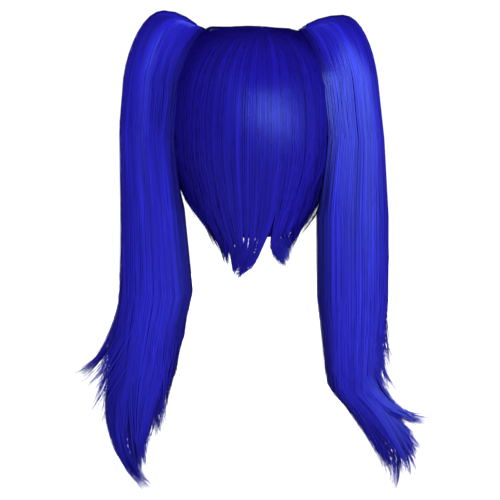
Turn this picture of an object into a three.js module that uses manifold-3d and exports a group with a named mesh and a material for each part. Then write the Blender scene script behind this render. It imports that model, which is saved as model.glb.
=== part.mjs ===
// A wig of straight royal blue fibre with two long pigtails set high on its sides.
// Millimetres, +Z up. The face looks along -Y, the back of the head is at +Y, and +X is the wearer's left.
// The origin is the highest point inside the cap, where the wearer's head touches it.
import * as THREE from "three";
import { mergeVertices } from "three/addons/utils/BufferGeometryUtils.js";
import Module from "manifold-3d";

const wasm = await Module();
wasm.setup();

// Head that the wig fits
const headBreadth = 150;
const headLength = 188;
const headCrownDepth = 100;
const headRoundness = 2.5;
const napeHollow = 0.6;
const templeHollow = 0.4;

// Cap and the patch of false skin at the whorl
const capWall = 2;
const capNapeDrop = 175;
const pieceGap = 0.3;
const facetAllowance = 0.6;
const whorlRight = 12;
const whorlBack = 12;
const patchRadius = 8.5;
const patchWall = 1.2;

// Hair over the cap
const crownHairRise = 4;
const sideHairRise = 13;
const backHairRise = 12;
const fringeRise = 7;
const hairTipWall = 2.2;
const lockGroove = 3;
const parting = 1.2;
const napeFall = 150;
const sideFall = 100;
const fringeFall = 102;
const napeHalfWidth = 30;

// Pigtails and the bands that tie them
const pigtailReach = 140;
const pigtailLength = 521;
const pigtailRise = 20;
const pigtailHalfDepth = 30;
const pigtailLockGroove = 2.4;
const pigtailNeckRadius = 15;
const pigtailLean = 46;
const tieSetOut = (62 / 150) * headBreadth;
const tieSetForward = (2 / 188) * headLength;
const tieWidth = 9;
const tieWall = 2.2;
const tieLift = 1;

// Shares and curves of the locks: how deep a groove may be in a fall's half width and in a layer's wall,
// how far down a layer its grooves are full, how late a nape lock sways, how a layer thins from the crown
// to its tips, and how a tip lock tapers
const deepestGroove = 0.12;
const deepestLayerGroove = 0.45;
const grooveFullAt = 0.5;
const swayCurve = 6;
const crownWallShare = 0.3;
const thinningCurve = 0.6;
const thinningStart = 0.125;
const lockTaper = 0.75;
const lockTipShare = 0.02;
const lockFlatness = 0.7;

// How finely round things are faceted
const capColumns = 32;
const capRows = 8;
const columnsToLock = 4;
const pigtailSides = 24;
const lockSides = 6;
const lockSteps = 5;
const tieSides = 20;
const patchRows = 3;
const patchColumns = 20;
const headHairColumns = 40;
const headHairRows = 14;

const rightAngle = Math.PI / 2;
const fullTurn = 2 * Math.PI;
const weldDistance = 1e-3;

// Lower edge of the cap from the nape, past the ear and its tab, to the forehead.
// The turn is in degrees from the back of the head, the drop a share of the cap's drop at the nape.
const capRim = [
  { turn: 0, drop: 1 },
  { turn: 42, drop: 0.93 },
  { turn: 68, drop: 0.7 },
  { turn: 90, drop: 0.65 },
  { turn: 112, drop: 0.73 },
  { turn: 132, drop: 0.52 },
  { turn: 152, drop: 0.37 },
  { turn: 180, drop: 0.32 },
];

// Back hair below the widest level. The fall is a share of the nape fall,
// width and depth are shares of the hair's half width and of its reach to the back.
const backForm = [
  { fall: 0, width: 1, depth: 1 },
  { fall: 0.16, width: 0.99, depth: 0.965 },
  { fall: 0.28, width: 0.95, depth: 0.92 },
  { fall: 0.42, width: 0.845, depth: 0.86 },
  { fall: 0.52, width: 0.785, depth: 0.81 },
  { fall: 0.63, width: 0.665, depth: 0.75 },
  { fall: 0.72, width: 0.555, depth: 0.7 },
  { fall: 0.8, width: 0.475, depth: 0.66 },
  { fall: 0.9, width: 0.4, depth: 0.615 },
  { fall: 1.05, width: 0.32, depth: 0.57 },
];

// Hair over the ears below the widest level. The left side stays inside the outline of the back hair,
// and the right side stands a little proud of it.
const leftForm = [
  { fall: 0, width: 1, depth: 1 },
  { fall: 0.3, width: 0.985, depth: 0.93 },
  { fall: 0.65, width: 0.84, depth: 0.83 },
  { fall: 0.9, width: 0.7, depth: 0.74 },
  { fall: 1.4, width: 0.42, depth: 0.57 },
];
const rightForm = [
  { fall: 0, width: 1, depth: 1 },
  { fall: 0.3, width: 0.985, depth: 0.93 },
  { fall: 0.6, width: 0.93, depth: 0.85 },
  { fall: 0.9, width: 0.785, depth: 0.74 },
  { fall: 1.15, width: 0.62, depth: 0.65 },
  { fall: 1.45, width: 0.42, depth: 0.57 },
];
const fringeForm = [
  { fall: 0, width: 1, depth: 1 },
  { fall: 1, width: 0.9, depth: 0.96 },
];

// Locks of each layer in order of their turn. The tip is how far the lock falls, as a share of its layer's
// fall below the widest level, and the sway is how far its tip leans to +X, as a share of the nape half width.
const backLocks = [
  { tip: 0.8, sway: 0 },
  { tip: 0.91, sway: 0 },
  { tip: 0.98, sway: 0.08 },
  { tip: 1.03, sway: 0.22 },
  { tip: 1.01, sway: 0.38 },
  { tip: 0.95, sway: 0.3 },
  { tip: 0.84, sway: 0.1 },
  { tip: 0.91, sway: -0.12 },
  { tip: 0.95, sway: -0.2 },
  { tip: 0.9, sway: -0.1 },
];
const leftLocks = [
  { tip: 1.05, sway: 0 },
  { tip: 0.96, sway: 0 },
  { tip: 0.85, sway: -0.05 },
  { tip: 0.74, sway: -0.1 },
];
const rightLocks = [
  { tip: 1.36, sway: 0.1 },
  { tip: 1.12, sway: 0 },
  { tip: 0.9, sway: 0.05 },
  { tip: 0.74, sway: 0.1 },
];
const fringeLocks = [
  { tip: 0.3, sway: 0.1 },
  { tip: 0.12, sway: 0.1 },
  { tip: 0.01, sway: 0.1 },
  { tip: 0.04, sway: 0.12 },
  { tip: 0, sway: -0.1 },
  { tip: 0.03, sway: -0.12 },
  { tip: 0.1, sway: -0.1 },
  { tip: 0.3, sway: -0.1 },
];

// Level sections of a pigtail. Down is a share of the pigtail's length below its crest, inner and outer are
// shares of its reach from the middle of the head, back and depth are shares of its half depth.
const leftPigtail = [
  { down: 0.0005, inner: 0.6, outer: 0.67, back: 0.27, depth: 0.16 },
  { down: 0.0065, inner: 0.53, outer: 0.74, back: 0.28, depth: 0.38 },
  { down: 0.0146, inner: 0.43, outer: 0.8, back: 0.3, depth: 0.54 },
  { down: 0.0345, inner: 0.29, outer: 0.855, back: 0.34, depth: 0.7 },
  { down: 0.0557, inner: 0.27, outer: 0.886, back: 0.36, depth: 0.76 },
  { down: 0.096, inner: 0.39, outer: 0.93, back: 0.34, depth: 0.84 },
  { down: 0.155, inner: 0.53, outer: 0.971, back: 0.3, depth: 0.9 },
  { down: 0.217, inner: 0.59, outer: 0.99, back: 0.26, depth: 0.95 },
  { down: 0.326, inner: 0.54, outer: 0.993, back: 0.2, depth: 1 },
  { down: 0.384, inner: 0.52, outer: 0.993, back: 0.18, depth: 1 },
  { down: 0.488, inner: 0.493, outer: 0.997, back: 0.15, depth: 1.02 },
  { down: 0.593, inner: 0.468, outer: 1.02, back: 0.13, depth: 1.02 },
  { down: 0.656, inner: 0.507, outer: 1.057, back: 0.13, depth: 0.98 },
  { down: 0.7255, inner: 0.6, outer: 1.1, back: 0.13, depth: 0.9 },
  { down: 0.787, inner: 0.675, outer: 1.1, back: 0.15, depth: 0.76 },
  { down: 0.837, inner: 0.745, outer: 1.08, back: 0.18, depth: 0.56 },
  { down: 0.88, inner: 0.86, outer: 1.04, back: 0.2, depth: 0.3 },
  { down: 0.9, inner: 0.93, outer: 1.01, back: 0.2, depth: 0.1 },
];
const rightPigtail = [
  { down: 0.0075, inner: 0.6, outer: 0.72, back: 0.4, depth: 0.16 },
  { down: 0.0115, inner: 0.52, outer: 0.78, back: 0.42, depth: 0.38 },
  { down: 0.019, inner: 0.42, outer: 0.82, back: 0.44, depth: 0.56 },
  { down: 0.038, inner: 0.34, outer: 0.86, back: 0.48, depth: 0.74 },
  { down: 0.0557, inner: 0.31, outer: 0.89, back: 0.5, depth: 0.8 },
  { down: 0.096, inner: 0.39, outer: 0.925, back: 0.48, depth: 0.86 },
  { down: 0.155, inner: 0.53, outer: 0.96, back: 0.42, depth: 0.92 },
  { down: 0.217, inner: 0.59, outer: 0.99, back: 0.36, depth: 0.96 },
  { down: 0.326, inner: 0.55, outer: 1.027, back: 0.26, depth: 1 },
  { down: 0.384, inner: 0.525, outer: 1.042, back: 0.22, depth: 1 },
  { down: 0.488, inner: 0.515, outer: 1.057, back: 0.18, depth: 1.02 },
  { down: 0.593, inner: 0.518, outer: 1.055, back: 0.15, depth: 1.02 },
  { down: 0.656, inner: 0.53, outer: 1.04, back: 0.14, depth: 0.98 },
  { down: 0.7255, inner: 0.58, outer: 1.02, back: 0.13, depth: 0.9 },
  { down: 0.787, inner: 0.665, outer: 1.02, back: 0.14, depth: 0.78 },
  { down: 0.83, inner: 0.77, outer: 1.07, back: 0.16, depth: 0.6 },
  { down: 0.87, inner: 0.92, outer: 1.14, back: 0.18, depth: 0.36 },
  { down: 0.9, inner: 1.04, outer: 1.14, back: 0.18, depth: 0.1 },
];

// Tapered locks at a pigtail's end, from a start inside it, past a middle, to the tip. Each of these places is
// how far out and how far down it lies, as in the sections. Back and width are shares of the half depth.
const leftTipLocks = [
  { start: [0.86, 0.61], middle: [1.07, 0.735], tip: [1.466, 0.774], back: 0, tipBack: -0.2, width: 0.7 },
  { start: [0.96, 0.69], middle: [1.1, 0.8], tip: [1.254, 0.853], back: 0.4, tipBack: 0.7, width: 0.44 },
  { start: [0.96, 0.72], middle: [1.1, 0.83], tip: [1.155, 0.872], back: -0.35, tipBack: -0.6, width: 0.52 },
  { start: [0.9, 0.73], middle: [1.12, 0.9], tip: [0.824, 1], back: 0.15, tipBack: 0.2, width: 1 },
  { start: [0.78, 0.7], middle: [0.75, 0.79], tip: [0.668, 0.842], back: 0.3, tipBack: 0.55, width: 0.42 },
  { start: [0.84, 0.74], middle: [0.82, 0.86], tip: [0.74, 0.88], back: -0.4, tipBack: -0.75, width: 0.64 },
  { start: [0.86, 0.76], middle: [0.82, 0.87], tip: [0.87, 0.94], back: 0.45, tipBack: 0.8, width: 0.52 },
  { start: [0.98, 0.74], middle: [1.08, 0.84], tip: [1.05, 0.93], back: -0.3, tipBack: -0.9, width: 0.44 },
];
const rightTipLocks = [
  { start: [0.9, 0.6], middle: [1.01, 0.69], tip: [1.122, 0.723], back: 0, tipBack: 0.1, width: 0.4 },
  { start: [0.9, 0.66], middle: [0.98, 0.735], tip: [1.129, 0.777], back: 0.3, tipBack: 0.5, width: 0.24 },
  { start: [0.86, 0.75], middle: [1.05, 0.845], tip: [1.368, 0.845], back: 0.3, tipBack: 0.6, width: 0.4 },
  { start: [0.88, 0.76], middle: [1.12, 0.86], tip: [1.376, 0.857], back: -0.2, tipBack: -0.5, width: 0.42 },
  { start: [0.9, 0.77], middle: [1.17, 0.86], tip: [1.284, 0.887], back: -0.4, tipBack: -0.9, width: 0.6 },
  { start: [0.88, 0.78], middle: [1.18, 0.87], tip: [1.279, 0.931], back: 0.2, tipBack: 0.4, width: 0.72 },
  { start: [0.88, 0.79], middle: [1.12, 0.9], tip: [1.226, 0.958], back: -0.2, tipBack: -0.35, width: 0.56 },
  { start: [0.88, 0.8], middle: [1.06, 0.91], tip: [1.183, 0.979], back: 0.1, tipBack: 0.1, width: 0.36 },
  { start: [0.86, 0.8], middle: [1.02, 0.9], tip: [1.089, 0.956], back: 0.3, tipBack: 0.75, width: 0.28 },
];

// Rings of a pigtail's neck from inside the hair on the head, through the band, into the fall.
// Both columns are shares of the neck's radius.
const neckStations = [
  { along: -0.7, radius: 1 },
  { along: 0, radius: 1 },
  { along: 0.75, radius: 1.03 },
  { along: 1.2, radius: 0.98 },
  { along: 1.55, radius: 0.6 },
];

// Finishes
const blueFibre = { color: 0x2b2ab0, roughness: 0.42, metalness: 0 };
const underFibre = { color: 0x1a1590, roughness: 0.5, metalness: 0 };
const capNet = { color: 0x15123c, roughness: 0.85, metalness: 0 };
const falseSkin = { color: 0xd9b8ae, roughness: 0.6, metalness: 0 };
const tieBand = { color: 0x1c1a70, roughness: 0.7, metalness: 0 };

// Value of a table's column at a place between its rows, on a smooth curve through them.
function columnAt(rows, place, at, column) {
  const last = rows.length - 1;
  if (at <= rows[0][place]) return rows[0][column];
  if (at >= rows[last][place]) return rows[last][column];
  const next = rows.findIndex((row) => row[place] > at);
  const low = rows[next - 1];
  const high = rows[next];
  const span = high[place] - low[place];
  const slope = (a, b) => (b[column] - a[column]) / (b[place] - a[place] || 1);
  const slopeIn = slope(rows[Math.max(next - 2, 0)], high);
  const slopeOut = slope(low, rows[Math.min(next + 1, last)]);
  const share = (at - low[place]) / span;
  const rest = 1 - share;
  return (
    low[column] * rest * rest * (1 + 2 * share) +
    high[column] * share * share * (3 - 2 * share) +
    span * share * rest * (slopeIn * rest - slopeOut * share)
  );
}

// Triangles of a grid of point numbers, row by row, all wound the same way.
function gridTriangles(numberAt, rows, columns, flipped) {
  const triangles = [];
  for (let row = 0; row < rows; row++) {
    for (let column = 0; column < columns; column++) {
      const a = numberAt(row, column);
      const b = numberAt(row, column + 1);
      const c = numberAt(row + 1, column + 1);
      const d = numberAt(row + 1, column);
      triangles.push(...(flipped ? [a, c, b, a, d, c] : [a, b, c, a, c, d]));
    }
  }
  return triangles;
}

// Closed geometry from points and triangles, with shared points welded and empty triangles dropped.
function weldedGeometry(points, triangles) {
  const loose = new THREE.BufferGeometry().setFromPoints(points);
  loose.setIndex(triangles);
  const welded = mergeVertices(loose, weldDistance);
  const kept = [];
  for (let i = 0; i < welded.index.count; i += 3) {
    const corners = [0, 1, 2].map((k) => welded.index.getX(i + k));
    if (new Set(corners).size === 3) kept.push(...corners);
  }
  welded.setIndex(kept);
  return welded;
}

// Wall between an outer and an inner sheet, each a function of row and column.
function wallGeometry(outerAt, innerAt, rows, columns, goesRound) {
  const points = [];
  for (const sheet of [outerAt, innerAt]) {
    for (let row = 0; row <= rows; row++) {
      for (let column = 0; column <= columns; column++) {
        points.push(sheet(row, goesRound ? column % columns : column));
      }
    }
  }
  const sheetSize = (rows + 1) * (columns + 1);
  const outer = (row, column) => row * (columns + 1) + column;
  const inner = (row, column) => sheetSize + outer(row, column);
  const edge = (place) => (side, along) =>
    side ? inner(...place(along)) : outer(...place(along));
  const triangles = [
    ...gridTriangles(outer, rows, columns, true),
    ...gridTriangles(inner, rows, columns, false),
    ...gridTriangles(edge((along) => [0, along]), 1, columns, false),
    ...gridTriangles(edge((along) => [rows, along]), 1, columns, true),
  ];
  if (!goesRound) {
    triangles.push(
      ...gridTriangles(edge((along) => [along, 0]), 1, rows, true),
      ...gridTriangles(edge((along) => [along, columns]), 1, rows, false),
    );
  }
  return weldedGeometry(points, triangles);
}

// Closed solid through rings of points, with a fan over each end.
function ringsGeometry(rings) {
  const sides = rings[0].length;
  const points = rings.flat();
  const ends = [rings[0], rings.at(-1)].map((ring) =>
    ring
      .reduce((sum, point) => sum.add(point), new THREE.Vector3())
      .divideScalar(sides),
  );
  points.push(...ends);
  const ringPoint = (row, column) => row * sides + (column % sides);
  const triangles = gridTriangles(ringPoint, rings.length - 1, sides, false);
  const lastRow = rings.length - 1;
  for (let side = 0; side < sides; side++) {
    triangles.push(points.length - 2, ringPoint(0, side + 1), ringPoint(0, side));
    triangles.push(
      points.length - 1,
      ringPoint(lastRow, side),
      ringPoint(lastRow, side + 1),
    );
  }
  return weldedGeometry(points, triangles);
}

// Solid of a closed geometry, turned right side out if its rings ran the other way.
function solidOf(geometry) {
  const flip = signedVolume(geometry) < 0;
  const triVerts = new Uint32Array(geometry.index.array);
  if (flip) {
    for (let i = 0; i < triVerts.length; i += 3) {
      [triVerts[i + 1], triVerts[i + 2]] = [triVerts[i + 2], triVerts[i + 1]];
    }
  }
  const vertProperties = new Float32Array(geometry.attributes.position.array);
  return new wasm.Manifold(
    new wasm.Mesh({ numProp: 3, vertProperties, triVerts }),
  );
}

// Volume inside a closed geometry, negative when its faces point inwards.
function signedVolume(geometry) {
  const corner = (k) =>
    new THREE.Vector3().fromBufferAttribute(
      geometry.attributes.position,
      geometry.index.getX(k),
    );
  let six = 0;
  for (let i = 0; i < geometry.index.count; i += 3) {
    six += corner(i).dot(corner(i + 1).cross(corner(i + 2)));
  }
  return six / 6;
}

// Geometry of a solid.
function geometryOf(solid) {
  const mesh = solid.getMesh();
  const geometry = new THREE.BufferGeometry();
  geometry.setAttribute(
    "position",
    new THREE.BufferAttribute(new Float32Array(mesh.vertProperties), 3),
  );
  geometry.setIndex([...mesh.triVerts]);
  return geometry;
}

// Named mesh with its own material.
function piece(name, solid, finish) {
  const geometry = geometryOf(solid);
  geometry.computeVertexNormals();
  const mesh = new THREE.Mesh(geometry, new THREE.MeshStandardMaterial(finish));
  mesh.name = name;
  return mesh;
}

// Dome shapes: how far the surface stands from the middle of the head to the side, back and front,
// how high its top is, and how far below it the widest level lies.
function headShape(grow) {
  return {
    side: headBreadth / 2 + grow,
    back: headLength / 2 + grow,
    front: headLength / 2 + grow,
    top: grow,
    depth: headCrownDepth + grow,
  };
}
const capInside = headShape(0);
const capOutside = headShape(capWall);
const hairInside = headShape(capWall + pieceGap + facetAllowance);

function hairShape(grow) {
  return {
    side: headBreadth / 2 + capWall + sideHairRise + grow,
    back: headLength / 2 + capWall + backHairRise + grow,
    front: headLength / 2 + capWall + fringeRise + grow,
    top: capWall + crownHairRise + grow,
    depth: headCrownDepth + capWall + crownHairRise + grow,
  };
}
const hairOutside = hairShape(0);

// The level counts from 0 at the top to 1 at the widest level, and on below it at the same pace.
function levelOfHeight(shape, height) {
  const drop = (shape.top - height) / shape.depth;
  if (drop < 1) return Math.acos(1 - drop) / rightAngle;
  return 1 + (drop - 1) / rightAngle;
}

function heightOfLevel(shape, level) {
  if (level < 1) {
    return shape.top - shape.depth * (1 - Math.cos(level * rightAngle));
  }
  return shape.top - shape.depth * (1 + (level - 1) * rightAngle);
}

// Point on a dome at a turn from the back of the head and a level. Its pole is shifted to the whorl.
// Below the widest level the narrowing gives the shares of its width and depth that are left.
function domePoint(shape, turn, level, narrowing) {
  const sideways = Math.sin(turn);
  const backwards = Math.cos(turn);
  const reachAlong = backwards > 0 ? shape.back : shape.front;
  if (level >= 1) {
    const height = heightOfLevel(shape, level);
    const left = narrowing(height, turn);
    return new THREE.Vector3(
      shape.side * left.width * sideways,
      reachAlong * left.depth * backwards,
      height,
    );
  }
  const lift = Math.cos(level * rightAngle);
  const reach = (1 - lift ** headRoundness) ** (1 / headRoundness);
  const shift = (1 - level) ** 2;
  const x = shape.side * reach * sideways - whorlRight * shift;
  const y = reachAlong * reach * backwards + whorlBack * shift;
  const alongHere = y > 0 ? shape.back : shape.front;
  const share = Math.min(1, Math.hypot(x / shape.side, y / alongHere));
  const liftHere = (1 - share ** headRoundness) ** (1 / headRoundness);
  return new THREE.Vector3(x, y, shape.top - shape.depth * (1 - liftHere));
}

// How the head draws in below its widest level, towards the nape and the temples.
function headNarrowing(height) {
  const drop = Math.max(0, -height / headCrownDepth - 1);
  return {
    width: 1 - templeHollow * drop * drop,
    depth: 1 - napeHollow * drop * drop,
  };
}

// How a layer of hair draws in, from its form table and the fall that the table is measured in.
function hairNarrowing(form, fallLength) {
  return (height) => {
    const fall = (-headCrownDepth - height) / fallLength;
    return {
      width: columnAt(form, "fall", fall, "width"),
      depth: columnAt(form, "fall", fall, "depth"),
    };
  };
}

function capRimHeight(turn) {
  const degrees = THREE.MathUtils.radToDeg(Math.abs(turn));
  return -capNapeDrop * columnAt(capRim, "turn", degrees, "drop");
}

// The cap: one thin wall over the head, open at the face, the ears and below.
function capPiece() {
  const sheet = (shape) => (row, column) => {
    const turn = (column / capColumns) * fullTurn - Math.PI;
    const rim = levelOfHeight(shape, capRimHeight(turn));
    return domePoint(shape, turn, (rim * row) / capRows, headNarrowing);
  };
  const geometry = wallGeometry(
    sheet(capOutside),
    sheet(capInside),
    capRows,
    capColumns,
    true,
  );
  return piece("cap", solidOf(geometry), capNet);
}

// The patch at the whorl: a small disc that follows the cap.
function patchPiece() {
  const edgeLevel = levelAtRadius(patchRadius);
  const sheet = (grow) => (row, column) => {
    const turn = (column / patchColumns) * fullTurn;
    const level = (edgeLevel * row) / patchRows;
    return domePoint(headShape(grow), turn, level, headNarrowing);
  };
  const low = capWall + pieceGap;
  const geometry = wallGeometry(
    sheet(low + patchWall),
    sheet(low),
    patchRows,
    patchColumns,
    true,
  );
  return piece("crown_patch", solidOf(geometry), falseSkin);
}

// Level at which the dome is a given distance out from its pole.
function levelAtRadius(radius) {
  const share = (4 * radius) / (headBreadth + headLength);
  const lift = (1 - share ** headRoundness) ** (1 / headRoundness);
  return Math.acos(lift) / rightAngle;
}

// Where in its lock a column lies: the lock's number, and 1 at the lock's middle down to 0 at its edges.
function lockAt(locks, column) {
  const number = Math.min(Math.floor(column / columnsToLock), locks.length - 1);
  const within = column / columnsToLock - number;
  return { lock: locks[number], middle: 1 - Math.abs(2 * within - 1) };
}

// One layer of hair from the whorl to ragged tips, between two turns, with a groove between its locks.
function hairLayer({ from, to, form, locks, fallLength, notch, rows }) {
  const columns = locks.length * columnsToLock;
  const narrowing = hairNarrowing(form, fallLength);
  const startLevel = levelAtRadius(patchRadius + pieceGap);
  const place = (row, column) => {
    const { lock, middle } = lockAt(locks, column);
    const tipFall = lock.tip - notch * (1 - middle);
    const tipHeight = -headCrownDepth - tipFall * fallLength;
    const share = row / rows;
    const endLevel = levelOfHeight(hairOutside, tipHeight);
    const level = startLevel + (endLevel - startLevel) * share;
    const reach = Math.max(patchRadius, hairOutside.side * Math.min(1, level));
    const inset = (Math.sign(to - from) * parting) / 2 / reach;
    const turn = THREE.MathUtils.lerp(from + inset, to - inset, column / columns);
    return { lock, middle, share, level, turn };
  };
  const outer = (row, column) => {
    const { lock, middle, share, level, turn } = place(row, column);
    const point = domePoint(hairOutside, turn, level, narrowing);
    const deepest = Math.min(lockGroove, deepestLayerGroove * wallAt(turn, level, share));
    moveInwards(point, deepest * (1 - middle) * Math.min(1, share / grooveFullAt), level);
    point.x += lock.sway * napeHalfWidth * share ** swayCurve;
    return point;
  };
  const inner = (row, column) => {
    const { lock, share, level, turn } = place(row, column);
    if (level < 1) return domePoint(hairInside, turn, level, headNarrowing);
    const point = domePoint(hairOutside, turn, level, narrowing);
    moveInwards(point, wallAt(turn, level, share), level);
    keepOffCap(point);
    point.x += lock.sway * napeHalfWidth * share ** swayCurve;
    return point;
  };
  return wallGeometry(outer, inner, rows, columns, false);
}

// Thickness of a layer: from the cap to its outside over the head, then thinner to the tips.
function wallAt(turn, level, share) {
  const outerReach = Math.hypot(
    hairOutside.side * Math.sin(turn),
    (Math.cos(turn) > 0 ? hairOutside.back : hairOutside.front) * Math.cos(turn),
  );
  const innerReach = Math.hypot(
    hairInside.side * Math.sin(turn),
    hairInside.back * Math.cos(turn),
  );
  const full = outerReach - innerReach;
  if (level < 1) return full * Math.max(level, crownWallShare);
  const thinned = (full - hairTipWall) * (1 - share) ** thinningCurve + hairTipWall;
  const keptHere = Math.exp((1 - level) / thinningStart);
  return THREE.MathUtils.lerp(thinned, full, keptHere);
}

// Moves a point on a layer towards the head: downwards at the top and sideways at the widest level.
function moveInwards(point, distance, level) {
  const flat = new THREE.Vector3(point.x, point.y, 0).normalize();
  const tilt = Math.min(1, level) * rightAngle;
  point.x -= flat.x * distance * Math.sin(tilt);
  point.y -= flat.y * distance * Math.sin(tilt);
  point.z -= distance * Math.cos(tilt);
}

// Moves a point on a layer's inside off the cap, at the heights where the cap may be.
function keepOffCap(point) {
  if (point.z < -capNapeDrop - capWall) return;
  const left = headNarrowing(point.z);
  const along = point.y > 0 ? hairInside.back : hairInside.front;
  const share = Math.hypot(
    point.x / (hairInside.side * left.width),
    point.y / (along * left.depth),
  );
  if (share < 1) {
    point.x /= share;
    point.y /= share;
  }
}

// Turns where one layer gives way to the next.
const backEdge = THREE.MathUtils.degToRad(80);
const fringeEdge = THREE.MathUtils.degToRad(128);

const layers = {
  back_hair: {
    from: backEdge,
    to: -backEdge,
    form: backForm,
    locks: backLocks,
    fallLength: napeFall,
    notch: 0.1,
    rows: 13,
  },
  side_hair_left: {
    from: backEdge,
    to: fringeEdge,
    form: leftForm,
    locks: leftLocks,
    fallLength: sideFall,
    notch: 0.13,
    rows: 12,
  },
  side_hair_right: {
    from: -backEdge,
    to: -fringeEdge,
    form: rightForm,
    locks: rightLocks,
    fallLength: sideFall,
    notch: 0.13,
    rows: 12,
  },
  fringe: {
    from: fringeEdge,
    to: 2 * Math.PI - fringeEdge,
    form: fringeForm,
    locks: fringeLocks,
    fallLength: fringeFall,
    notch: 0.14,
    rows: 9,
  },
};

// Solid that the hair on the head fills, grown by a clearance, which the pigtails are cut to.
function headHairSolid(grow) {
  const shape = hairShape(grow);
  const lowest = levelOfHeight(shape, -headCrownDepth - napeFall);
  const rings = [];
  for (let row = 1; row <= headHairRows; row++) {
    const ring = [];
    for (let column = 0; column < headHairColumns; column++) {
      const turn = (column / headHairColumns) * fullTurn - Math.PI;
      const layer = layerAtTurn(turn);
      const narrowing = hairNarrowing(layer.form, layer.fallLength);
      ring.push(domePoint(shape, turn, (lowest * row) / headHairRows, narrowing));
    }
    rings.push(ring);
  }
  return solidOf(ringsGeometry(rings));
}

function layerAtTurn(turn) {
  if (Math.abs(turn) <= backEdge) return layers.back_hair;
  if (Math.abs(turn) >= fringeEdge) return layers.fringe;
  return turn > 0 ? layers.side_hair_left : layers.side_hair_right;
}

// Straight frame of a pigtail's neck and band: where it leaves the hair, and which way.
function neckFrame(sign) {
  const lean = THREE.MathUtils.degToRad(pigtailLean);
  const direction = new THREE.Vector3(sign * Math.sin(lean), 0, Math.cos(lean));
  const share = tieSetOut / hairOutside.side;
  const lift = (1 - share ** headRoundness) ** (1 / headRoundness);
  const height = hairOutside.top - hairOutside.depth * (1 - lift);
  return { foot: new THREE.Vector3(sign * tieSetOut, -tieSetForward, height), direction };
}

// Ring of points about a frame's axis at a distance along it.
function neckRing({ foot, direction }, along, radius, sides) {
  const across = new THREE.Vector3(0, 1, 0);
  const up = new THREE.Vector3().crossVectors(direction, across);
  return Array.from({ length: sides }, (_, side) => {
    const angle = (side / sides) * fullTurn;
    return foot
      .clone()
      .addScaledVector(direction, along)
      .addScaledVector(across, radius * Math.cos(angle))
      .addScaledVector(up, radius * Math.sin(angle));
  });
}

// The band's ring section, grown by a clearance on all its sides.
function tieSolid(sign, grow) {
  const frame = neckFrame(sign);
  const inner = pigtailNeckRadius + pieceGap - grow;
  const outer = pigtailNeckRadius + pieceGap + tieWall + grow;
  const low = tieLift - grow;
  const high = tieLift + tieWidth + grow;
  const shoulder = tieWall / 3;
  const profile = [
    { along: low, radius: inner },
    { along: low, radius: outer - shoulder },
    { along: low + shoulder, radius: outer },
    { along: high - shoulder, radius: outer },
    { along: high, radius: outer - shoulder },
    { along: high, radius: inner },
    { along: low, radius: inner },
  ];
  const rings = profile.map(({ along, radius }) =>
    neckRing(frame, along, radius, tieSides),
  );
  const points = rings.flat();
  const ringPoint = (row, column) => row * tieSides + (column % tieSides);
  const triangles = gridTriangles(ringPoint, rings.length - 1, tieSides, false);
  return solidOf(weldedGeometry(points, triangles));
}

// The pigtail's neck, gathered in its band and swelling above it.
function neckSolid(sign) {
  const frame = neckFrame(sign);
  const rings = neckStations.map(({ along, radius }) =>
    neckRing(frame, along * pigtailNeckRadius, radius * pigtailNeckRadius, pigtailSides),
  );
  return solidOf(ringsGeometry(rings));
}

// The pigtail's main fall: level sections, each an oval with shallow grooves between its locks.
function fallSolid(sign, sections) {
  const rings = sections.map(({ down, inner, outer, back, depth }) => {
    const middle = ((inner + outer) / 2) * pigtailReach;
    const halfWidth = ((outer - inner) / 2) * pigtailReach;
    const groove = Math.min(pigtailLockGroove, halfWidth * deepestGroove);
    return Array.from({ length: pigtailSides }, (_, side) => {
      const angle = (side / pigtailSides) * fullTurn;
      const grooved = side % 2 ? groove : 0;
      return new THREE.Vector3(
        sign * (middle + (halfWidth - grooved) * Math.cos(angle)),
        back * pigtailHalfDepth + (depth * pigtailHalfDepth - grooved) * Math.sin(angle),
        pigtailRise - down * pigtailLength,
      );
    });
  });
  return solidOf(ringsGeometry(rings));
}

// One tapered lock on a curve from inside the pigtail to its tip.
function lockSolid(sign, lock) {
  const point = ([out, down], back) =>
    new THREE.Vector3(
      sign * out * pigtailReach,
      back * pigtailHalfDepth,
      pigtailRise - down * pigtailLength,
    );
  const curve = new THREE.QuadraticBezierCurve3(
    point(lock.start, lock.back),
    point(lock.middle, (lock.back + lock.tipBack) / 2),
    point(lock.tip, lock.tipBack),
  );
  const across = new THREE.Vector3(0, 1, 0);
  const rings = Array.from({ length: lockSteps + 1 }, (_, step) => {
    const share = step / lockSteps;
    const taper = Math.max(lockTipShare, (1 - share) ** lockTaper);
    const radius = lock.width * pigtailHalfDepth * taper;
    const centre = curve.getPoint(share);
    const side = new THREE.Vector3().crossVectors(curve.getTangent(share), across).normalize();
    return Array.from({ length: lockSides }, (_, corner) => {
      const angle = (corner / lockSides) * fullTurn;
      return centre
        .clone()
        .addScaledVector(side, radius * Math.cos(angle))
        .addScaledVector(across, radius * lockFlatness * Math.sin(angle));
    });
  });
  return solidOf(ringsGeometry(rings));
}

// A pigtail: its neck, its fall and its locks in one, cut to the hair that it lies on and to its band.
function pigtailPiece(name, sign, sections, locks, headHair) {
  let whole = fallSolid(sign, sections).add(neckSolid(sign));
  for (const lock of locks) whole = whole.add(lockSolid(sign, lock));
  whole = whole.subtract(headHair).subtract(tieSolid(sign, pieceGap));
  return piece(name, whole, blueFibre);
}

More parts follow.
